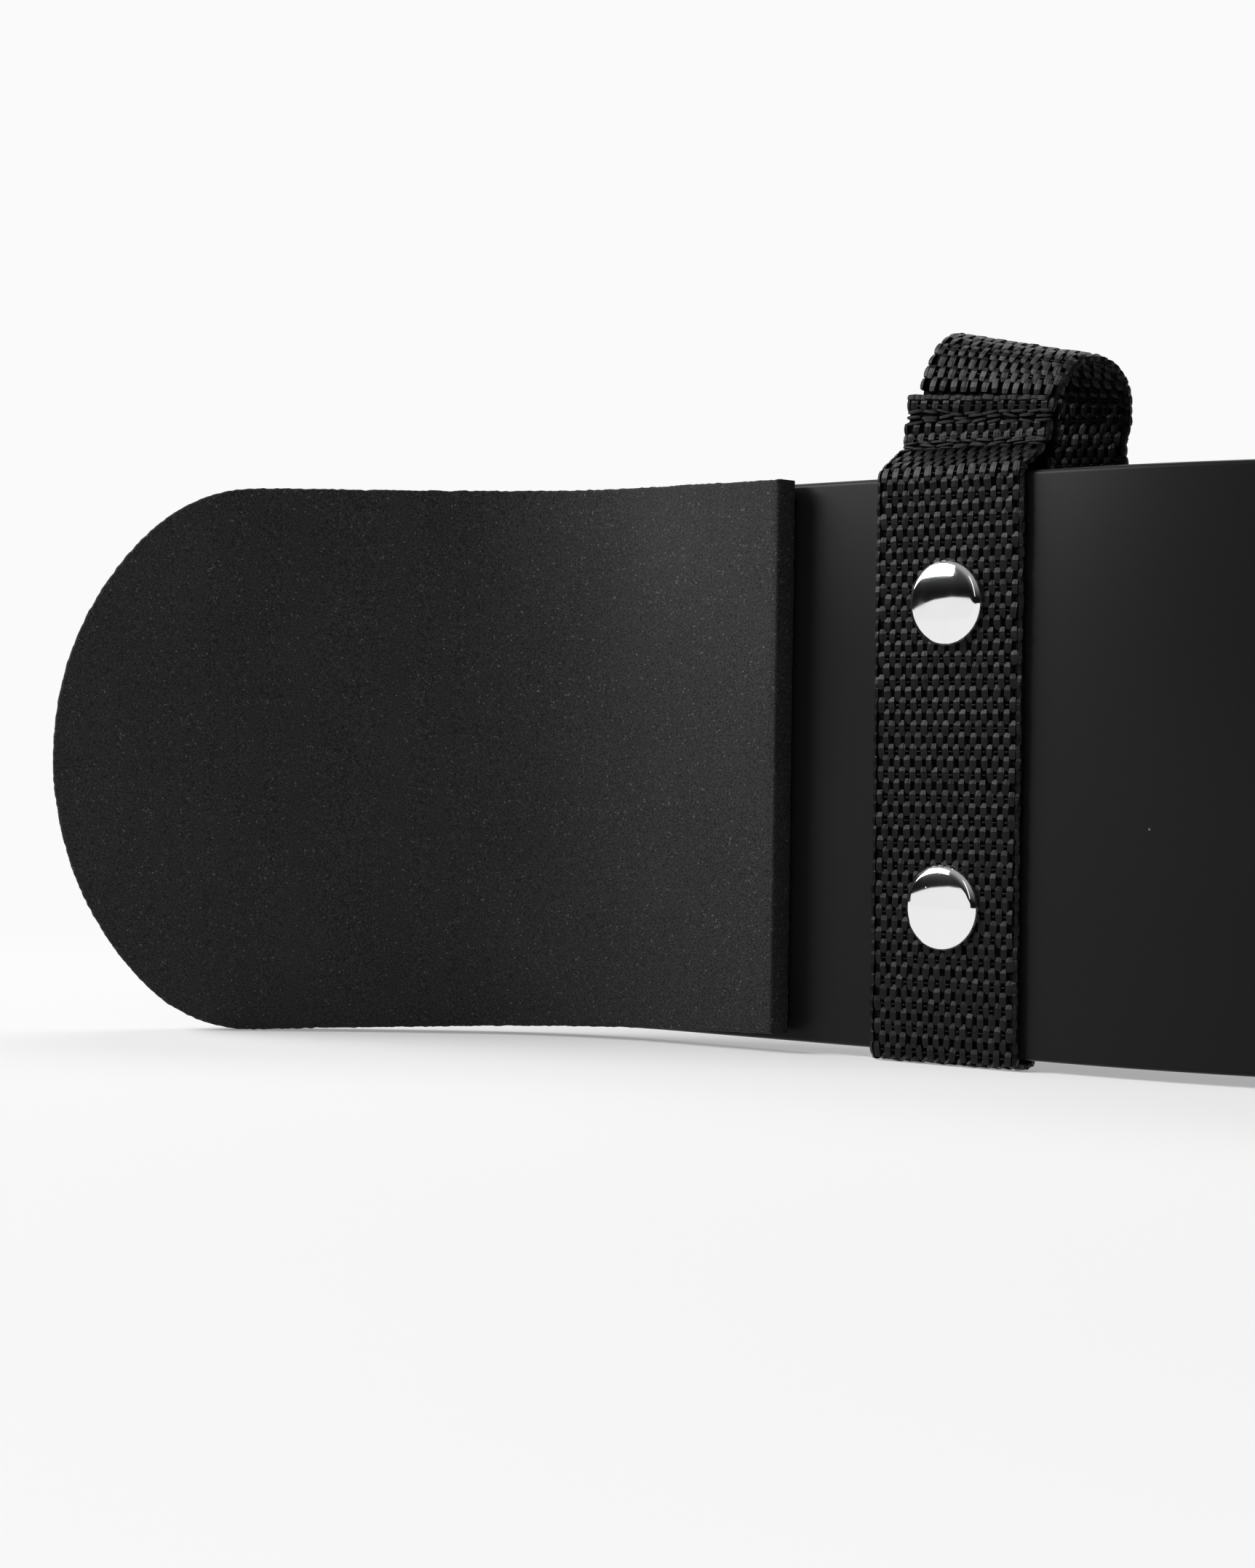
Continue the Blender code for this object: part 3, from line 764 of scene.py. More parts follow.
def plate_finish():
    """Satin black coat with a faint orange peel, soft cloudiness and a few dust specks."""
    look = bpy.context.scene.blaster_plate
    finish = Finish("satin black coat", Specular_IOR_Level=0.07)
    cloud = finish.mottle(14)
    peel = finish.mottle(900, 1)
    speck = (1 - finish.cells(95).ramp(0.012, 0.03)) * finish.mottle(60).ramp(0.5, 0.6)
    coat = finish.shades(cloud, look.colour, 0.86, 1.14)
    return finish.set(
        Base_Color=finish.blend(speck * 0.7, coat, colour((0.35, 0.35, 0.34))),
        Roughness=0.28 + cloud * 0.1 + speck * 0.3,
        Normal=finish.bump(peel, 0.02 * MM, 0.35),
    )


def foam_finish():
    """Matte closed-cell foam: fine grain, darker pits and scattered light specks, which are painted glints
    off its grain.
    """
    look = bpy.context.scene.blaster_foam
    finish = Finish("black foam", Specular_IOR_Level=0.12)
    grain = finish.mottle(3600, 1)
    patch = finish.mottle(55, 3)
    cells = finish.cells(1500)
    # painted glints: light specks set into the colour where the foam's grain would sparkle
    speck = (1 - cells.ramp(0.14, 0.3)) * finish.mottle(900).ramp(0.49, 0.66)
    skin = finish.shades((grain - 0.5) * 3.0 + 0.5 + (patch - 0.5) * 0.3, look.colour, 0.3, 1.7)
    return finish.set(
        Base_Color=finish.blend(speck * 0.7, skin, colour(look.glint_speck_colour)),
        Roughness=0.6 + grain * 0.3,
        Normal=finish.bump(grain + cells * 0.5, 0.12 * MM, 0.7),
    )


def yarn_finish(name, brightness, roughness):
    """Polypropylene yarn: fine filaments along each float, with tone from yarn to yarn."""
    look = bpy.context.scene.blaster_webbing
    finish = Finish(name, Specular_IOR_Level=0.115)
    tone = finish.add("ShaderNodeAttribute", {"attribute_name": "tone"}, output="Fac")
    across, along = finish.parts(finish.add("ShaderNodeUVMap", {"uv_map": "UVMap"}))[:2]
    filament = finish.noise(finish.vector(across * 11 + tone * 37, along * 1.6, tone * 91), 1.0, 3)
    base = [brightness * c for c in look.colour]
    shade = (filament - 0.5) * 1.3 + tone * 0.6 + 0.2
    return finish.set(
        Base_Color=finish.shades(shade, base, 0.55, 1.6),
        Roughness=roughness - 0.08 + filament * 0.2,
        Normal=finish.bump(filament, 0.09 * MM, 0.9),
    )


def shaded_ground_finish():
    """Ground of the webbing between its floats, painted far darker than its yarn as the shade between the
    floats.
    """
    look = bpy.context.scene.blaster_webbing
    finish = Finish("shaded webbing ground", Roughness=0.9, Specular_IOR_Level=0.1)
    fibre = finish.mottle(2600, 2)
    return finish.set(
        # painted shade: the ground takes 0.15 to 0.5 of the yarn's colour, so the gaps between floats look
        # shaded
        Base_Color=finish.shades(fibre, look.colour, 0.15, 0.5),
        Normal=finish.bump(fibre, 0.08 * MM, 0.7),
    )


def chrome_finish():
    """Bright plating with faint smears and a few fine pits."""
    look = bpy.context.scene.blaster_cap
    finish = Finish("bright plating", Metallic=1.0)
    smear = finish.mottle(160, 4)
    pit = (1 - finish.cells(330).ramp(0.02, 0.06)) * finish.mottle(90).ramp(0.5, 0.62)
    return finish.set(
        Base_Color=finish.shades(smear * 0.25 + pit * 0.6, look.colour, 1.0, 0.72),
        Roughness=0.06 + smear.ramp(0.5, 0.75) * 0.05 + pit * 0.3,
        Normal=finish.bump(smear - pit, 0.01 * MM, 0.25),
    )


def steel_finish():
    """Plain plated steel of the rivets' inner pieces."""
    finish = Finish("plated steel", Metallic=1.0)
    grain = finish.mottle(1500, 3)
    return finish.set(
        Base_Color=finish.blend(grain, colour(grey(0.42)), colour((0.62, 0.62, 0.61))),
        Roughness=0.28 + grain * 0.2,
    )


def film_finish():
    """Pale adhesive film with a mottled, slightly yellowed surface."""
    finish = Finish("adhesive film")
    mottle = finish.mottle(240, 4)
    return finish.set(
        Base_Color=finish.blend(mottle, colour((0.5, 0.48, 0.42)), colour((0.66, 0.65, 0.6))),
        Roughness=0.5 + mottle * 0.25,
        Normal=finish.bump(mottle, 0.05 * MM, 0.4),
    )


def slider_finish():
    """Moulded black plastic with a fine eroded texture."""
    finish = Finish("moulded plastic")
    grain = finish.mottle(1800, 3)
    wear = finish.mottle(120, 3)
    return finish.set(
        Base_Color=finish.blend(wear, colour(grey(0.014)), colour(grey(0.03))),
        Roughness=0.42 + grain * 0.2,
        Normal=finish.bump(grain, 0.03 * MM, 0.6),
    )


def linked(name, data):
    """A new object in the scene."""
    item = bpy.data.objects.new(name, data)
    bpy.context.scene.collection.objects.link(item)
    return item


def evaluated_mesh(carrier):
    """A plain mesh of an object with its modifiers applied."""
    ready = carrier.evaluated_get(bpy.context.evaluated_depsgraph_get())
    return bpy.data.meshes.new_from_object(ready)


def shown(name, mesh, material):
    """A finished piece that rides on the support."""
    mesh.materials.clear()
    mesh.materials.append(material)
    piece = linked(name, mesh)
    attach(piece, BODY)
    return piece


def drilled(mesh, holes):
    """The mesh with round holes cut through it; each hole is a place matrix, a radius and a length."""
    body = linked("drilling", mesh)
    tools = []
    for place, radius, length in holes:
        shape = bmesh.new()
        bmesh.ops.create_cone(
            shape,
            cap_ends=True,
            segments=HOLE_STEPS,
            radius1=radius,
            radius2=radius,
            depth=length,
            matrix=place,
        )
        tool = linked("drill", mesh_of("drill", shape, FLAT_CREASE))
        tools.append(tool)
        modifier = body.modifiers.new("hole", "BOOLEAN")
        modifier.object = tool
        modifier.solver = "EXACT"
    result = evaluated_mesh(body)
    for used in [body] + tools:
        bpy.data.objects.remove(used)
    return result


def rivet_holes(sides, spans):
    """Holes at every rivet of some sides, for spans of front depth, back depth and radius."""
    holes = []
    for side in sides:
        for height in RIVET_HEIGHTS.values():
            for front, back, radius in spans:
                middle = Matrix.Translation((0, height, -(front + back) / 2))
                holes.append((strap_frame(side) @ middle, radius, back - front))
    return holes


def float_tree():
    """Geometry nodes that set one swelling yarn float on each point, turned along its yarn."""
    tree = bpy.data.node_groups.new("yarn floats", "GeometryNodeTree")
    tree.interface.new_socket("Points", in_out="INPUT", socket_type="NodeSocketGeometry")
    for name in ("Width", "Length", "Height", "Taper"):
        tree.interface.new_socket(name, in_out="INPUT", socket_type="NodeSocketFloat")
    for name in ("Points across", "Points along"):
        tree.interface.new_socket(name, in_out="INPUT", socket_type="NodeSocketInt")
    tree.interface.new_socket("Finish", in_out="INPUT", socket_type="NodeSocketMaterial")
    tree.interface.new_socket("Geometry", in_out="OUTPUT", socket_type="NodeSocketGeometry")
    nodes = Nodes(tree)
    entry = tree.nodes.new("NodeGroupInput")
    given = {socket.name: Value(nodes, socket) for socket in entry.outputs}

    fineness = {"Vertices X": given["Points across"], "Vertices Y": given["Points along"]}
    grid = nodes.add("GeometryNodeMeshGrid", None, {"Size X": 2.0, "Size Y": 2.0, **fineness})
    uv = Value(nodes, grid.socket.node.outputs["UV Map"])
    mapped = nodes.add(
        "GeometryNodeStoreNamedAttribute",
        {"data_type": "FLOAT2", "domain": "CORNER"},
        {"Geometry": grid, "Name": "UVMap", "Value": uv},
    )
    u, v = nodes.parts(nodes.add("GeometryNodeInputPosition"))[:2]
    waist = 1 - given["Taper"] * abs(v) ** 2.0
    swell = (1 - abs(u) ** 4.0).root() * (1 - abs(v) ** 3.0)
    shape = nodes.vector(
        u * (1.4 - u * u * 0.4) * given["Width"] * waist * 0.5,
        v * (1.5 - v * v * 0.5) * given["Length"] * (1 - u * u * 0.15) * 0.5,
        given["Height"] * (swell * 1.25 - 0.25),
    )
    pillow = nodes.add("GeometryNodeSetPosition", None, {"Geometry": mapped, "Position": shape})
    faceted = nodes.add("GeometryNodeSetShadeSmooth", None, {"Geometry": pillow, "Shade Smooth": False})

    def attribute(name):
        return nodes.add("GeometryNodeInputNamedAttribute", {"data_type": "FLOAT_VECTOR"}, {"Name": name})

    turned = nodes.add(
        "FunctionNodeAxesToRotation",
        {"primary_axis": "Z", "secondary_axis": "Y"},
        {"Primary Axis": attribute("facing"), "Secondary Axis": attribute("along")},
    )
    placed = nodes.add(
        "GeometryNodeInstanceOnPoints",
        None,
        {"Points": given["Points"], "Instance": faceted, "Rotation": turned, "Scale": attribute("swell")},
    )
    chance = nodes.add("FunctionNodeRandomValue", {"data_type": "FLOAT"}, {"Seed": TONE_SEED}, 1)
    toned = nodes.add(
        "GeometryNodeStoreNamedAttribute",
        {"data_type": "FLOAT", "domain": "INSTANCE"},
        {"Geometry": placed, "Name": "tone", "Value": chance},
    )
    real = nodes.add("GeometryNodeRealizeInstances", None, {"Geometry": toned})
    painted = nodes.add("GeometryNodeSetMaterial", None, {"Geometry": real, "Material": given["Finish"]})
    leave = tree.nodes.new("NodeGroupOutput")
    tree.links.new(painted.socket, leave.inputs["Geometry"])
    return tree


def float_mesh(name, floats, sizes, finish):
    """Mesh of yarn floats, each given as place, facing, along and scale."""
    tree = bpy.data.node_groups.get("yarn floats") or float_tree()
    points = bpy.data.meshes.new(name)
    points.from_pydata([item[0] for item in floats], [], [])
    for column, label in enumerate(("facing", "along", "swell"), start=1):
        layer = points.attributes.new(label, "FLOAT_VECTOR", "POINT")
        layer.data.foreach_set("vector", [number for item in floats for number in item[column]])
    carrier = linked(name, points)
    modifier = carrier.modifiers.new("floats", "NODES")
    modifier.node_group = tree
    keys = {item.name: item.identifier for item in tree.interface.items_tree if item.in_out == "INPUT"}
    for label, value in {**sizes, "Finish": finish}.items():
        modifier[keys[label]] = value
    mesh = evaluated_mesh(carrier)
    bpy.data.objects.remove(carrier)
    mesh.name = name
    return mesh


def sway(chance, spread):
    """A chance amount to either side."""
    return chance.uniform(-spread, spread)


def row_places(start, stop, pitch):
    """Distances of rows of floats between two distances along a band."""
    return [start + pitch * row for row in range(math.floor((stop - start) / pitch) + 1)]


def weave(band, width, rows, chance, keep):
    """Warp floats on both faces of a band in offset rows, weft crossings between them, and the edges."""
    look = bpy.context.scene.blaster_webbing
    pitch = width / (look.columns + 0.5)
    face = WEBBING_THICKNESS / 2 - look.float_height
    edge = width / 2 - EDGE_SINK * look.float_height
    floats = []
    gaps = [second - first for first, second in zip(rows, rows[1:])]
    for row, distance in enumerate(rows):
        squeeze = min(gaps[max(row - 1, 0) : row + 1] + [look.row_pitch]) / look.row_pitch
        centre, forward, across, normal = band.station(distance)
        count = look.columns - row % 2
        for out in (normal, -normal):
            for column in range(count):
                shift = (column - (count - 1) / 2 + sway(chance, 0.05)) * pitch
                place = centre + across * shift + out * face
                if not keep(place):
                    continue
                along = forward + across * sway(chance, 0.12)
                facing = out + across * sway(chance, 0.12) + forward * sway(chance, 0.06)
                scale = (
                    chance.uniform(0.9, 1.08),
                    chance.uniform(0.93, 1.08) * squeeze,
                    chance.uniform(0.75, 0.98),
                )
                floats.append((place, facing, along, scale))
                if row % 2 == 0:
                    weft = place + across * pitch / 2 + out * WEFT_RISE * look.float_height
                    scale = (chance.uniform(0.12, 0.17), chance.uniform(0.3, 0.38), 0.45)
                    floats.append((weft, out, across + forward * sway(chance, 0.2), scale))
        for out in (across, -across):
            broad = EDGE_FILL * WEBBING_THICKNESS / pitch
            scale = (broad, chance.uniform(0.75, 0.88), chance.uniform(0.6, 0.95))
            facing = out + normal * sway(chance, 0.2)
            along = forward + normal * sway(chance, 0.2)
            floats.append((centre + out * edge, facing, along, scale))
    return floats


def float_sizes(across, along):
    """Size and fineness of one yarn float of the webbing."""
    look = bpy.context.scene.blaster_webbing
    pitch = WEBBING_WIDTH / (look.columns + 0.5)
    return {
        "Width": pitch * FLOAT_FILL,
        "Length": look.row_pitch * FLOAT_REACH,
        "Height": look.float_height,
        "Taper": FLOAT_TAPER,
        "Points across": across,
        "Points along": along,
    }


def clear_of_rivets(side, radius):
    """A test that a place on a sling is outside the space that the rivets take up."""
    axes = strap_frame(side).inverted()

    def keep(place):
        here = axes @ place
        return all(math.hypot(here.x, here.y - height) > radius for height in RIVET_HEIGHTS.values())

    return keep


class BLASTER_OT_plate(bpy.types.Operator):
    """Make the bent plate with its eased rim and rivet holes"""

    bl_idname = "blaster.plate"
    bl_label = "Bent plate"

    def execute(self, context):
        look = context.scene.blaster_plate
        outline = plate_outline()
        sheet = bent_sheet("plate_sheet", outline, 0, PLATE_THICKNESS, look.edge_round, 1, -PLATE_HALF)
        span = (-PLATE_THICKNESS, 2 * PLATE_THICKNESS, POST_HOLE)
        sheet = drilled(sheet, rivet_holes(SIDES.values(), [span]))
        piece = shown("plate_sheet", sheet, plate_finish())
        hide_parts("plate")
        return {"FINISHED"}


class BLASTER_OT_pads(bpy.types.Operator):
    """Make the two foam elbow pads with their slightly ragged cut edges"""

    bl_idname = "blaster.pads"
    bl_label = "Elbow pads"

    def execute(self, context):
        look = context.scene.blaster_foam
        finish = foam_finish()
        outline = ragged(subdivided(pad_outline(), RAGGED_STEP), look.ragged)
        for label, side in SIDES.items():
            name = label + "_pad_foam"
            front = -PAD_BACK - PAD_THICKNESS
            mesh = bent_sheet(name, outline, front, -PAD_BACK, look.edge_round, side, PAD_START)
            piece = shown(name, mesh, finish)
            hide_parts(label + "_elbow_pad")
        return {"FINISHED"}


class BLASTER_OT_webbing(bpy.types.Operator):
    """Weave the two slings and the free neck strap"""

    bl_idname = "blaster.webbing"
    bl_label = "Woven straps"

    def ground(self, name, band, width, step, holes):
        """Mesh of a strap's ground cloth."""
        look = bpy.context.scene.blaster_webbing
        narrowed = width - 2 * EDGE_SINK * look.float_height
        cloth = band_mesh(name, band, narrowed, CLOTH_THICKNESS, step)
        return drilled(cloth, holes) if holes else cloth

    def execute(self, context):
        look = context.scene.blaster_webbing
        ground = shaded_ground_finish()
        yarn = yarn_finish("webbing yarn", 1.0, 0.33)
        chance = random.Random(WEAVE_SEED)
        for label, side in SIDES.items():
            band = Band(sling_route(side))
            front = (-4 * PLY, PLATE_THICKNESS / 2, POST_HOLE)
            back = (PLATE_THICKNESS / 2, PLATE_THICKNESS + 4 * PLY, COLLAR_HOLE)
            name = label + "_sling_cloth"
            holes = rivet_holes([side], [front, back])
            cloth = self.ground(name, band, PRESSED_WIDTH, SLING_CLOTH_STEP, holes)
            piece = shown(name, cloth, ground)
            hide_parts(label + "_strap_sling")
            middle = row_places(FLAP_LENGTH, band.length - FLAP_LENGTH, look.row_pitch)
            rows = list(FLAP_ROWS) + middle + [band.length - row for row in reversed(FLAP_ROWS)]
            floats = weave(band, PRESSED_WIDTH, rows, chance, clear_of_rivets(side, CAP_CLEAR))
            mesh = float_mesh(label + "_sling_weave", floats, float_sizes(*FINE_POINTS), yarn)
            shown(label + "_sling_weave", mesh, yarn)
        band = Band(neck_route())
        cloth = self.ground("neck_strap_cloth", band, WEBBING_WIDTH, STRAP_CLOTH_STEP, [])
        strap = shown("neck_strap_cloth", cloth, ground)
        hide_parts("neck_strap")
        rows = row_places(ROW_INSET, band.length - ROW_INSET, look.row_pitch)
        loop = round(NECK_LOOP / look.row_pitch) // 2 * 2
        half = len(rows) // 4 * 2
        runs = {
            "right_loop": (rows[:loop], float_sizes(*FINE_POINTS)),
            "right_run": (rows[loop:half], float_sizes(*PLAIN_POINTS)),
            "left_run": (rows[half:-loop], float_sizes(*PLAIN_POINTS)),
            "left_loop": (rows[-loop:], float_sizes(*FINE_POINTS)),
        }
        for label, (places, sizes) in runs.items():
            name = f"neck_strap_weave_{label}"
            floats = weave(band, WEBBING_WIDTH, places, chance, lambda place: True)
            shown(name, float_mesh(name, floats, sizes, yarn), yarn)
        return {"FINISHED"}


class BLASTER_OT_seams(bpy.types.Operator):
    """Sew each sling's end to the ply behind it, and melt its cut edge"""

    bl_idname = "blaster.seams"
    bl_label = "Sewn seams"

    def line(self, band, distance, out, chance):
        """Stitches across a band at a distance from its start, on the face that looks out."""
        look = bpy.context.scene.blaster_seam
        stitches = []
        place = -PRESSED_WIDTH / 2 + chance.uniform(0.1, 0.7) * MM
        while place < PRESSED_WIDTH / 2 - STITCH_MARGIN:
            length = look.stitch_length * chance.uniform(0.8, 1.15)
            centre, forward, across, normal = band.station(distance + sway(chance, 0.3) * MM)
            face = normal if normal.dot(out) > 0 else -normal
            middle = min(place + length / 2, PRESSED_WIDTH / 2 - length / 2)
            spot = centre + across * middle + face * (WEBBING_THICKNESS / 2 - look.sunk)
            along = across + forward * sway(chance, 0.2)
            scale = (chance.uniform(0.85, 1.15), length / look.stitch_length, chance.uniform(0.8, 1.2))
            stitches.append((spot, face, along, scale))
            place += length * chance.uniform(0.86, 1.0)
        return stitches

    def melted(self, band, chance):
        """Beads along the cut end of a band, on both of its faces."""
        look = bpy.context.scene.blaster_seam
        beads = []
        centre, forward, across, normal = band.station(0)
        for out in (normal, -normal):
            place = -PRESSED_WIDTH / 2 + BEAD_START
            while place < PRESSED_WIDTH / 2 - BEAD_MARGIN:
                length = chance.uniform(1.6, 2.9) * MM
                lean = out - forward * chance.uniform(0.1, 0.6)
                scale = (chance.uniform(1.4, 2.0), length / look.stitch_length, chance.uniform(1.1, 1.7))
                spot = centre + across * place + forward * chance.uniform(0.0, 0.35) * MM + out * BEAD_LIFT
                beads.append((spot, lean, across, scale))
                place += length * BEAD_LAP
        return beads

    def execute(self, context):
        look = context.scene.blaster_seam
        thread = yarn_finish("sewing thread", 1.15, 0.45)
        chance = random.Random(SEAM_SEED)
        sizes = float_sizes(*STITCH_POINTS)
        sizes.update(Width=look.thread, Length=look.stitch_length, Height=look.thread * STITCH_RISE)
        for label, side in SIDES.items():
            band = Band(sling_route(side))
            out = strap_frame(side).col[2].to_3d()
            stitches = self.melted(band, chance)
            for start, stop in SEAM_BANDS:
                for row in range(look.lines):
                    distance = start + (stop - start) * row / (look.lines - 1)
                    stitches += self.line(band, distance, out, chance)
                    stitches += self.line(band, band.length - distance, -out, chance)
            name = label + "_seam"
            shown(name, float_mesh(name, stitches, sizes, thread), thread)
        return {"FINISHED"}


class BLASTER_OT_caps(bpy.types.Operator):
    """Turn the bright domed caps of the rivets"""

    bl_idname = "blaster.caps"
    bl_label = "Rivet caps"

    def profile(self):
        """Radius and height down the dome, round its shoulder and rolled rim, and back inside."""
        look = bpy.context.scene.blaster_cap
        radius = look.diameter / 2
        outer = self.dome(radius, look.height, look.shoulder)
        inner = self.dome(radius - CAP_SHEET, look.height - CAP_SHEET, look.shoulder - CAP_SHEET)
        angles = [math.pi / 2 * step / ROLL_STEPS for step in range(ROLL_STEPS + 1)]
        rim = [(radius - CAP_ROLL * (1 - math.cos(a)), CAP_ROLL * (1 - math.sin(a))) for a in angles]
        lip = radius - CAP_LIP
        turned_in = [(lip, 0), (lip, CAP_SHEET), (radius - 1.5 * CAP_SHEET, CAP_SHEET)]
        return outer + rim + turned_in + inner[::-1]

    def dome(self, radius, height, shoulder):
        """Spherical crown that a round shoulder joins to the upright rim."""
        sphere = (radius**2 + CAP_BULGE**2) / (2 * CAP_BULGE)
        centre = height - sphere
        across = radius - shoulder
        middle = centre + math.sqrt((sphere - shoulder) ** 2 - across**2)
        reach = math.atan2(across, middle - centre)
        crown = [reach * step / CROWN_STEPS for step in range(CROWN_STEPS)]
        points = [(sphere * math.sin(a), centre + sphere * math.cos(a)) for a in crown]
        rest = math.pi / 2 - reach
        bend = [reach + rest * step / SHOULDER_STEPS for step in range(SHOULDER_STEPS + 1)]
        return points + [(across + shoulder * math.sin(a), middle + shoulder * math.cos(a)) for a in bend]

    def turned(self, name, place):
        """Mesh of a cap turned about its axis and set in place."""
        profile = [(max(radius, 0), height + GAP) for radius, height in self.profile()]
        shape = bmesh.new()
        points = [shape.verts.new((radius, 0, height)) for radius, height in profile]
        edges = [shape.edges.new(pair) for pair in zip(points, points[1:])]
        whole = 2 * math.pi
        geometry = points + edges
        bmesh.ops.spin(shape, geom=geometry, axis=UP, cent=(0, 0, 0), angle=whole, steps=CAP_STEPS)
        bmesh.ops.remove_doubles(shape, verts=shape.verts, dist=MERGE)
        bmesh.ops.transform(shape, matrix=place, verts=shape.verts)
        return mesh_of(name, shape, CAP_CREASE)

    def execute(self, context):
        plating = chrome_finish()
        surface = GAP + WEBBING_THICKNESS - context.scene.blaster_cap.sunk
        front = Matrix.Translation((0, 0, surface))
        behind = Matrix.Translation((0, 0, -PLATE_THICKNESS - surface)) @ Matrix.Rotation(math.pi, 4, "Y")
        places = {"front_cap": front, "back_cap": behind}
        for label, side in SIDES.items():
            for level, height in RIVET_HEIGHTS.items():
                seat = strap_frame(side) @ Matrix.Translation((0, height, 0))
                for part, place in places.items():
                    node = f"{label}_{level}_{part}"
                    name = node + "_dome"
                    piece = shown(name, self.turned(name, seat @ place), plating)
                    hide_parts(node)
        return {"FINISHED"}


class BLASTER_OT_fittings(bpy.types.Operator):
    """Finish the solids that stay as they are: rivet posts and sockets, adhesive film and slider"""

    bl_idname = "blaster.fittings"
    bl_label = "Fittings"

    def execute(self, context):
        finishes = {
            "_post": steel_finish(),
            "_pad_adhesive": film_finish(),
            "strap_slider": slider_finish(),
        }
        finishes["_socket"] = finishes["_post"]
        for name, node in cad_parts.items():
            for ending, material in finishes.items():
                if name.endswith(ending):
                    node.data.materials.clear()
                    node.data.materials.append(material)
        return {"FINISHED"}


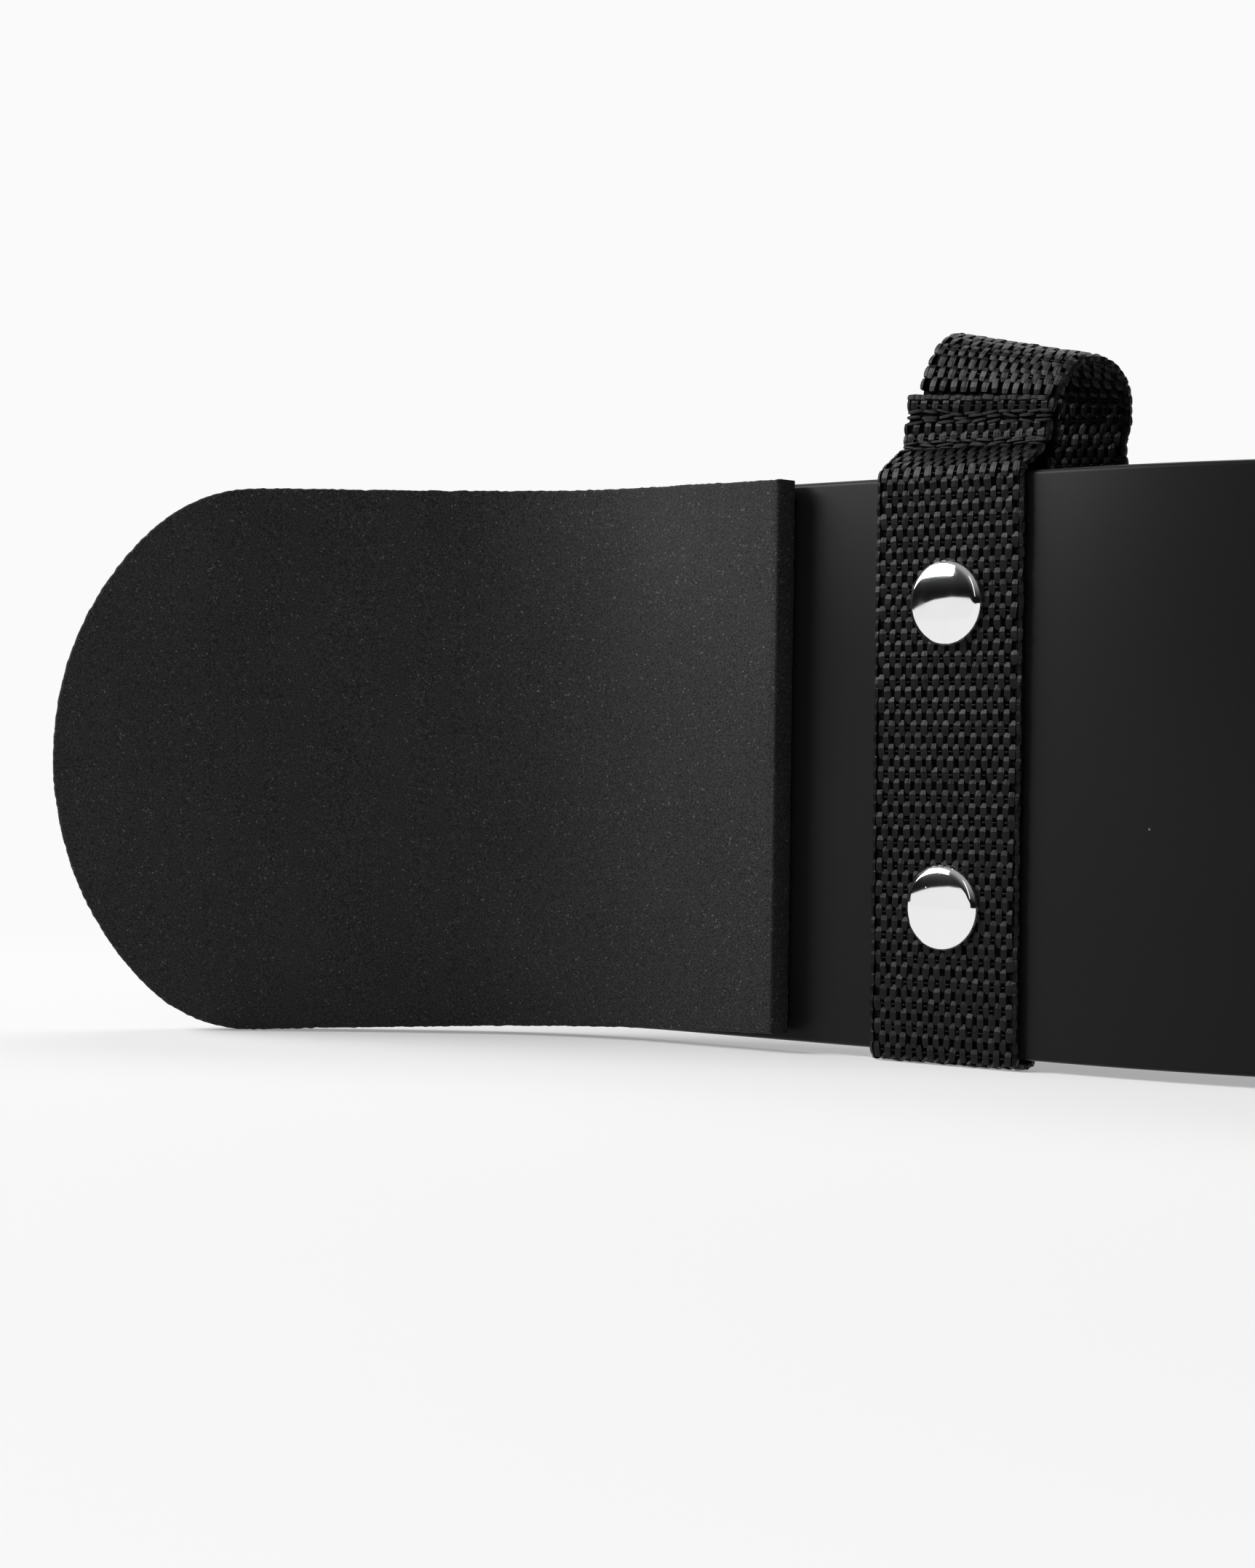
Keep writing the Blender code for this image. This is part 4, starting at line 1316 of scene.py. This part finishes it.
class BLASTER_OT_stage(bpy.types.Operator):
    """Set up the pale floor, the soft light and the camera"""

    bl_idname = "blaster.stage"
    bl_label = "Stage"

    def floor(self):
        """Pale floor that goes over into the white background away from the object."""
        look = bpy.context.scene.blaster_stage
        shape = bmesh.new()
        bmesh.ops.create_grid(shape, x_segments=1, y_segments=1, size=FLOOR_HALF)
        finish = Finish("pale floor", Roughness=0.8, Specular_IOR_Level=0.0)
        shade = finish.shades(finish.mottle(6), look.floor_colour, 0.985, 1.0)
        material = finish.set(Base_Color=shade)
        x, y = finish.parts(finish.place)[:2]
        glow = finish.add("ShaderNodeEmission", None, {"Color": colour(look.background)})
        lit = Value(finish, finish.shader.outputs[0])
        away = (x * x + y * y).root()
        # painted light: even at the object the floor glows GLOW_NEAR for the camera, which lightens the
        # object's shadow there
        shine = GLOW_NEAR + (1 - GLOW_NEAR) * away.ramp(GLOW_START, GLOW_FULL)
        direct = self.ray(finish, "Camera") * shine
        share = finish.math("MAXIMUM", direct, self.mirrored(finish))
        finish.surface(finish.add("ShaderNodeMixShader", None, {0: share, 1: lit, 2: glow}))
        mesh = mesh_of("floor", shape, FLAT_CREASE)
        mesh.materials.append(material)
        floor = linked("floor", mesh)

    def ray(self, nodes, kind):
        return nodes.add("ShaderNodeLightPath", output=f"Is {kind} Ray")

    def mirrored(self, nodes):
        """1 for what is seen in a reflection or through a surface."""
        return nodes.math("MAXIMUM", self.ray(nodes, "Glossy"), self.ray(nodes, "Transmission"))

    def sky(self):
        """White behind the object, a dim room before it."""
        look = bpy.context.scene.blaster_stage
        world = bpy.data.worlds.new("studio")
        bpy.context.scene.world = world
        world.use_nodes = True
        nodes = Nodes(world.node_tree)
        y, z = nodes.parts(nodes.add("ShaderNodeTexCoord", output="Generated"))[1:]
        white = nodes.math("MAXIMUM", y.ramp(0.35, 0.8), z.ramp(0.15, 0.95) * 0.4)
        room = nodes.blend(white, colour(grey(ROOM_DARK)), colour(look.background))
        ambient = colour(grey(AMBIENT))
        seen = nodes.math("MAXIMUM", self.ray(nodes, "Camera"), self.mirrored(nodes))
        nodes.tree.links.new(
            nodes.blend(seen, ambient, room).socket,
            world.node_tree.nodes["Background"].inputs["Color"],
        )

    def card(self):
        """Low card at the left that glows though it is no lamp and lights nothing: a painted reflection
        that shows in the caps, not in the picture.
        """
        look = bpy.context.scene.blaster_stage
        shape = bmesh.new()
        upper = [shape.verts.new(top) for top in CARD_TOPS]
        lower = [shape.verts.new((x, y, 0)) for x, y, z in CARD_TOPS]
        for index in range(len(CARD_TOPS) - 1):
            shape.faces.new((upper[index], lower[index], lower[index + 1], upper[index + 1]))
        finish = Finish("glowing card")
        finish.surface(finish.add("ShaderNodeEmission", None, {"Color": colour(look.floor_colour)}))
        mesh = mesh_of("card", shape, FLAT_CREASE)
        mesh.materials.append(finish.material)
        card = linked("card", mesh)
        card.visible_camera = False
        card.visible_diffuse = False
        card.visible_shadow = False

    def lamp(self, name, place, along, size, power):
        """A softbox that faces the object, its long side along a direction."""
        light = bpy.data.lights.new(name, "AREA")
        light.shape = "RECTANGLE"
        light.size, light.size_y = size
        light.energy = power
        back = (Vector(place) - Vector(LIGHT_TARGET)).normalized()
        short = back.cross(Vector(along)).normalized()
        axes = Matrix((short.cross(back), short, back)).transposed().to_4x4()
        lamp = linked(name, light)
        lamp.matrix_world = Matrix.Translation(place) @ axes
        lamp.visible_camera = False

    def camera(self):
        """A view of the left end, from the front."""
        look = bpy.context.scene.blaster_stage
        data = bpy.data.cameras.new("camera")
        data.sensor_fit = "HORIZONTAL"
        data.sensor_width = SENSOR_WIDTH
        data.lens = look.lens
        data.shift_y = CAMERA_SHIFT
        data.clip_start = NEAREST
        camera = linked("camera", data)
        turn = Matrix.Rotation(math.pi / 2, 4, "X") @ Matrix.Rotation(CAMERA_ROLL, 4, "Z")
        camera.matrix_world = Matrix.Translation(CAMERA_PLACE) @ turn
        bpy.context.scene.camera = camera

    def execute(self, context):
        context.scene.view_settings.view_transform = "Standard"
        self.floor()
        self.sky()
        for softbox in SOFTBOXES:
            self.lamp(*softbox)
        self.card()
        self.camera()
        return {"FINISHED"}


class BLASTER_PT_looks(bpy.types.Panel):
    """Lists the pieces of the arm blaster"""

    bl_idname = "BLASTER_PT_looks"
    bl_label = "Arm blaster"
    bl_space_type = "VIEW_3D"
    bl_region_type = "UI"
    bl_category = "Arm blaster"

    def draw(self, context):
        for operator in OPERATORS:
            self.layout.operator(operator.bl_idname)
        for name in LOOKS:
            group = getattr(context.scene, name)
            for prop in group.__annotations__:
                self.layout.prop(group, prop)


LOOKS = {
    "blaster_plate": PlateLook,
    "blaster_foam": FoamLook,
    "blaster_webbing": WebbingLook,
    "blaster_seam": SeamLook,
    "blaster_cap": CapLook,
    "blaster_stage": StageLook,
}
OPERATORS = (
    BLASTER_OT_stage,
    BLASTER_OT_plate,
    BLASTER_OT_pads,
    BLASTER_OT_webbing,
    BLASTER_OT_seams,
    BLASTER_OT_caps,
    BLASTER_OT_fittings,
)


def register():
    for name, look in LOOKS.items():
        bpy.utils.register_class(look)
        setattr(bpy.types.Scene, name, PointerProperty(type=look))
    for operator in OPERATORS:
        bpy.utils.register_class(operator)
    bpy.utils.register_class(BLASTER_PT_looks)


def unregister():
    bpy.utils.unregister_class(BLASTER_PT_looks)
    for operator in OPERATORS:
        bpy.utils.unregister_class(operator)
    for name, look in LOOKS.items():
        delattr(bpy.types.Scene, name)
        bpy.utils.unregister_class(look)


def main():
    """Dress the arm blaster."""
    register()
    bpy.ops.blaster.stage()
    bpy.ops.blaster.plate()
    bpy.ops.blaster.pads()
    bpy.ops.blaster.webbing()
    bpy.ops.blaster.seams()
    bpy.ops.blaster.caps()
    bpy.ops.blaster.fittings()


if __name__ == "__main__":
    main()
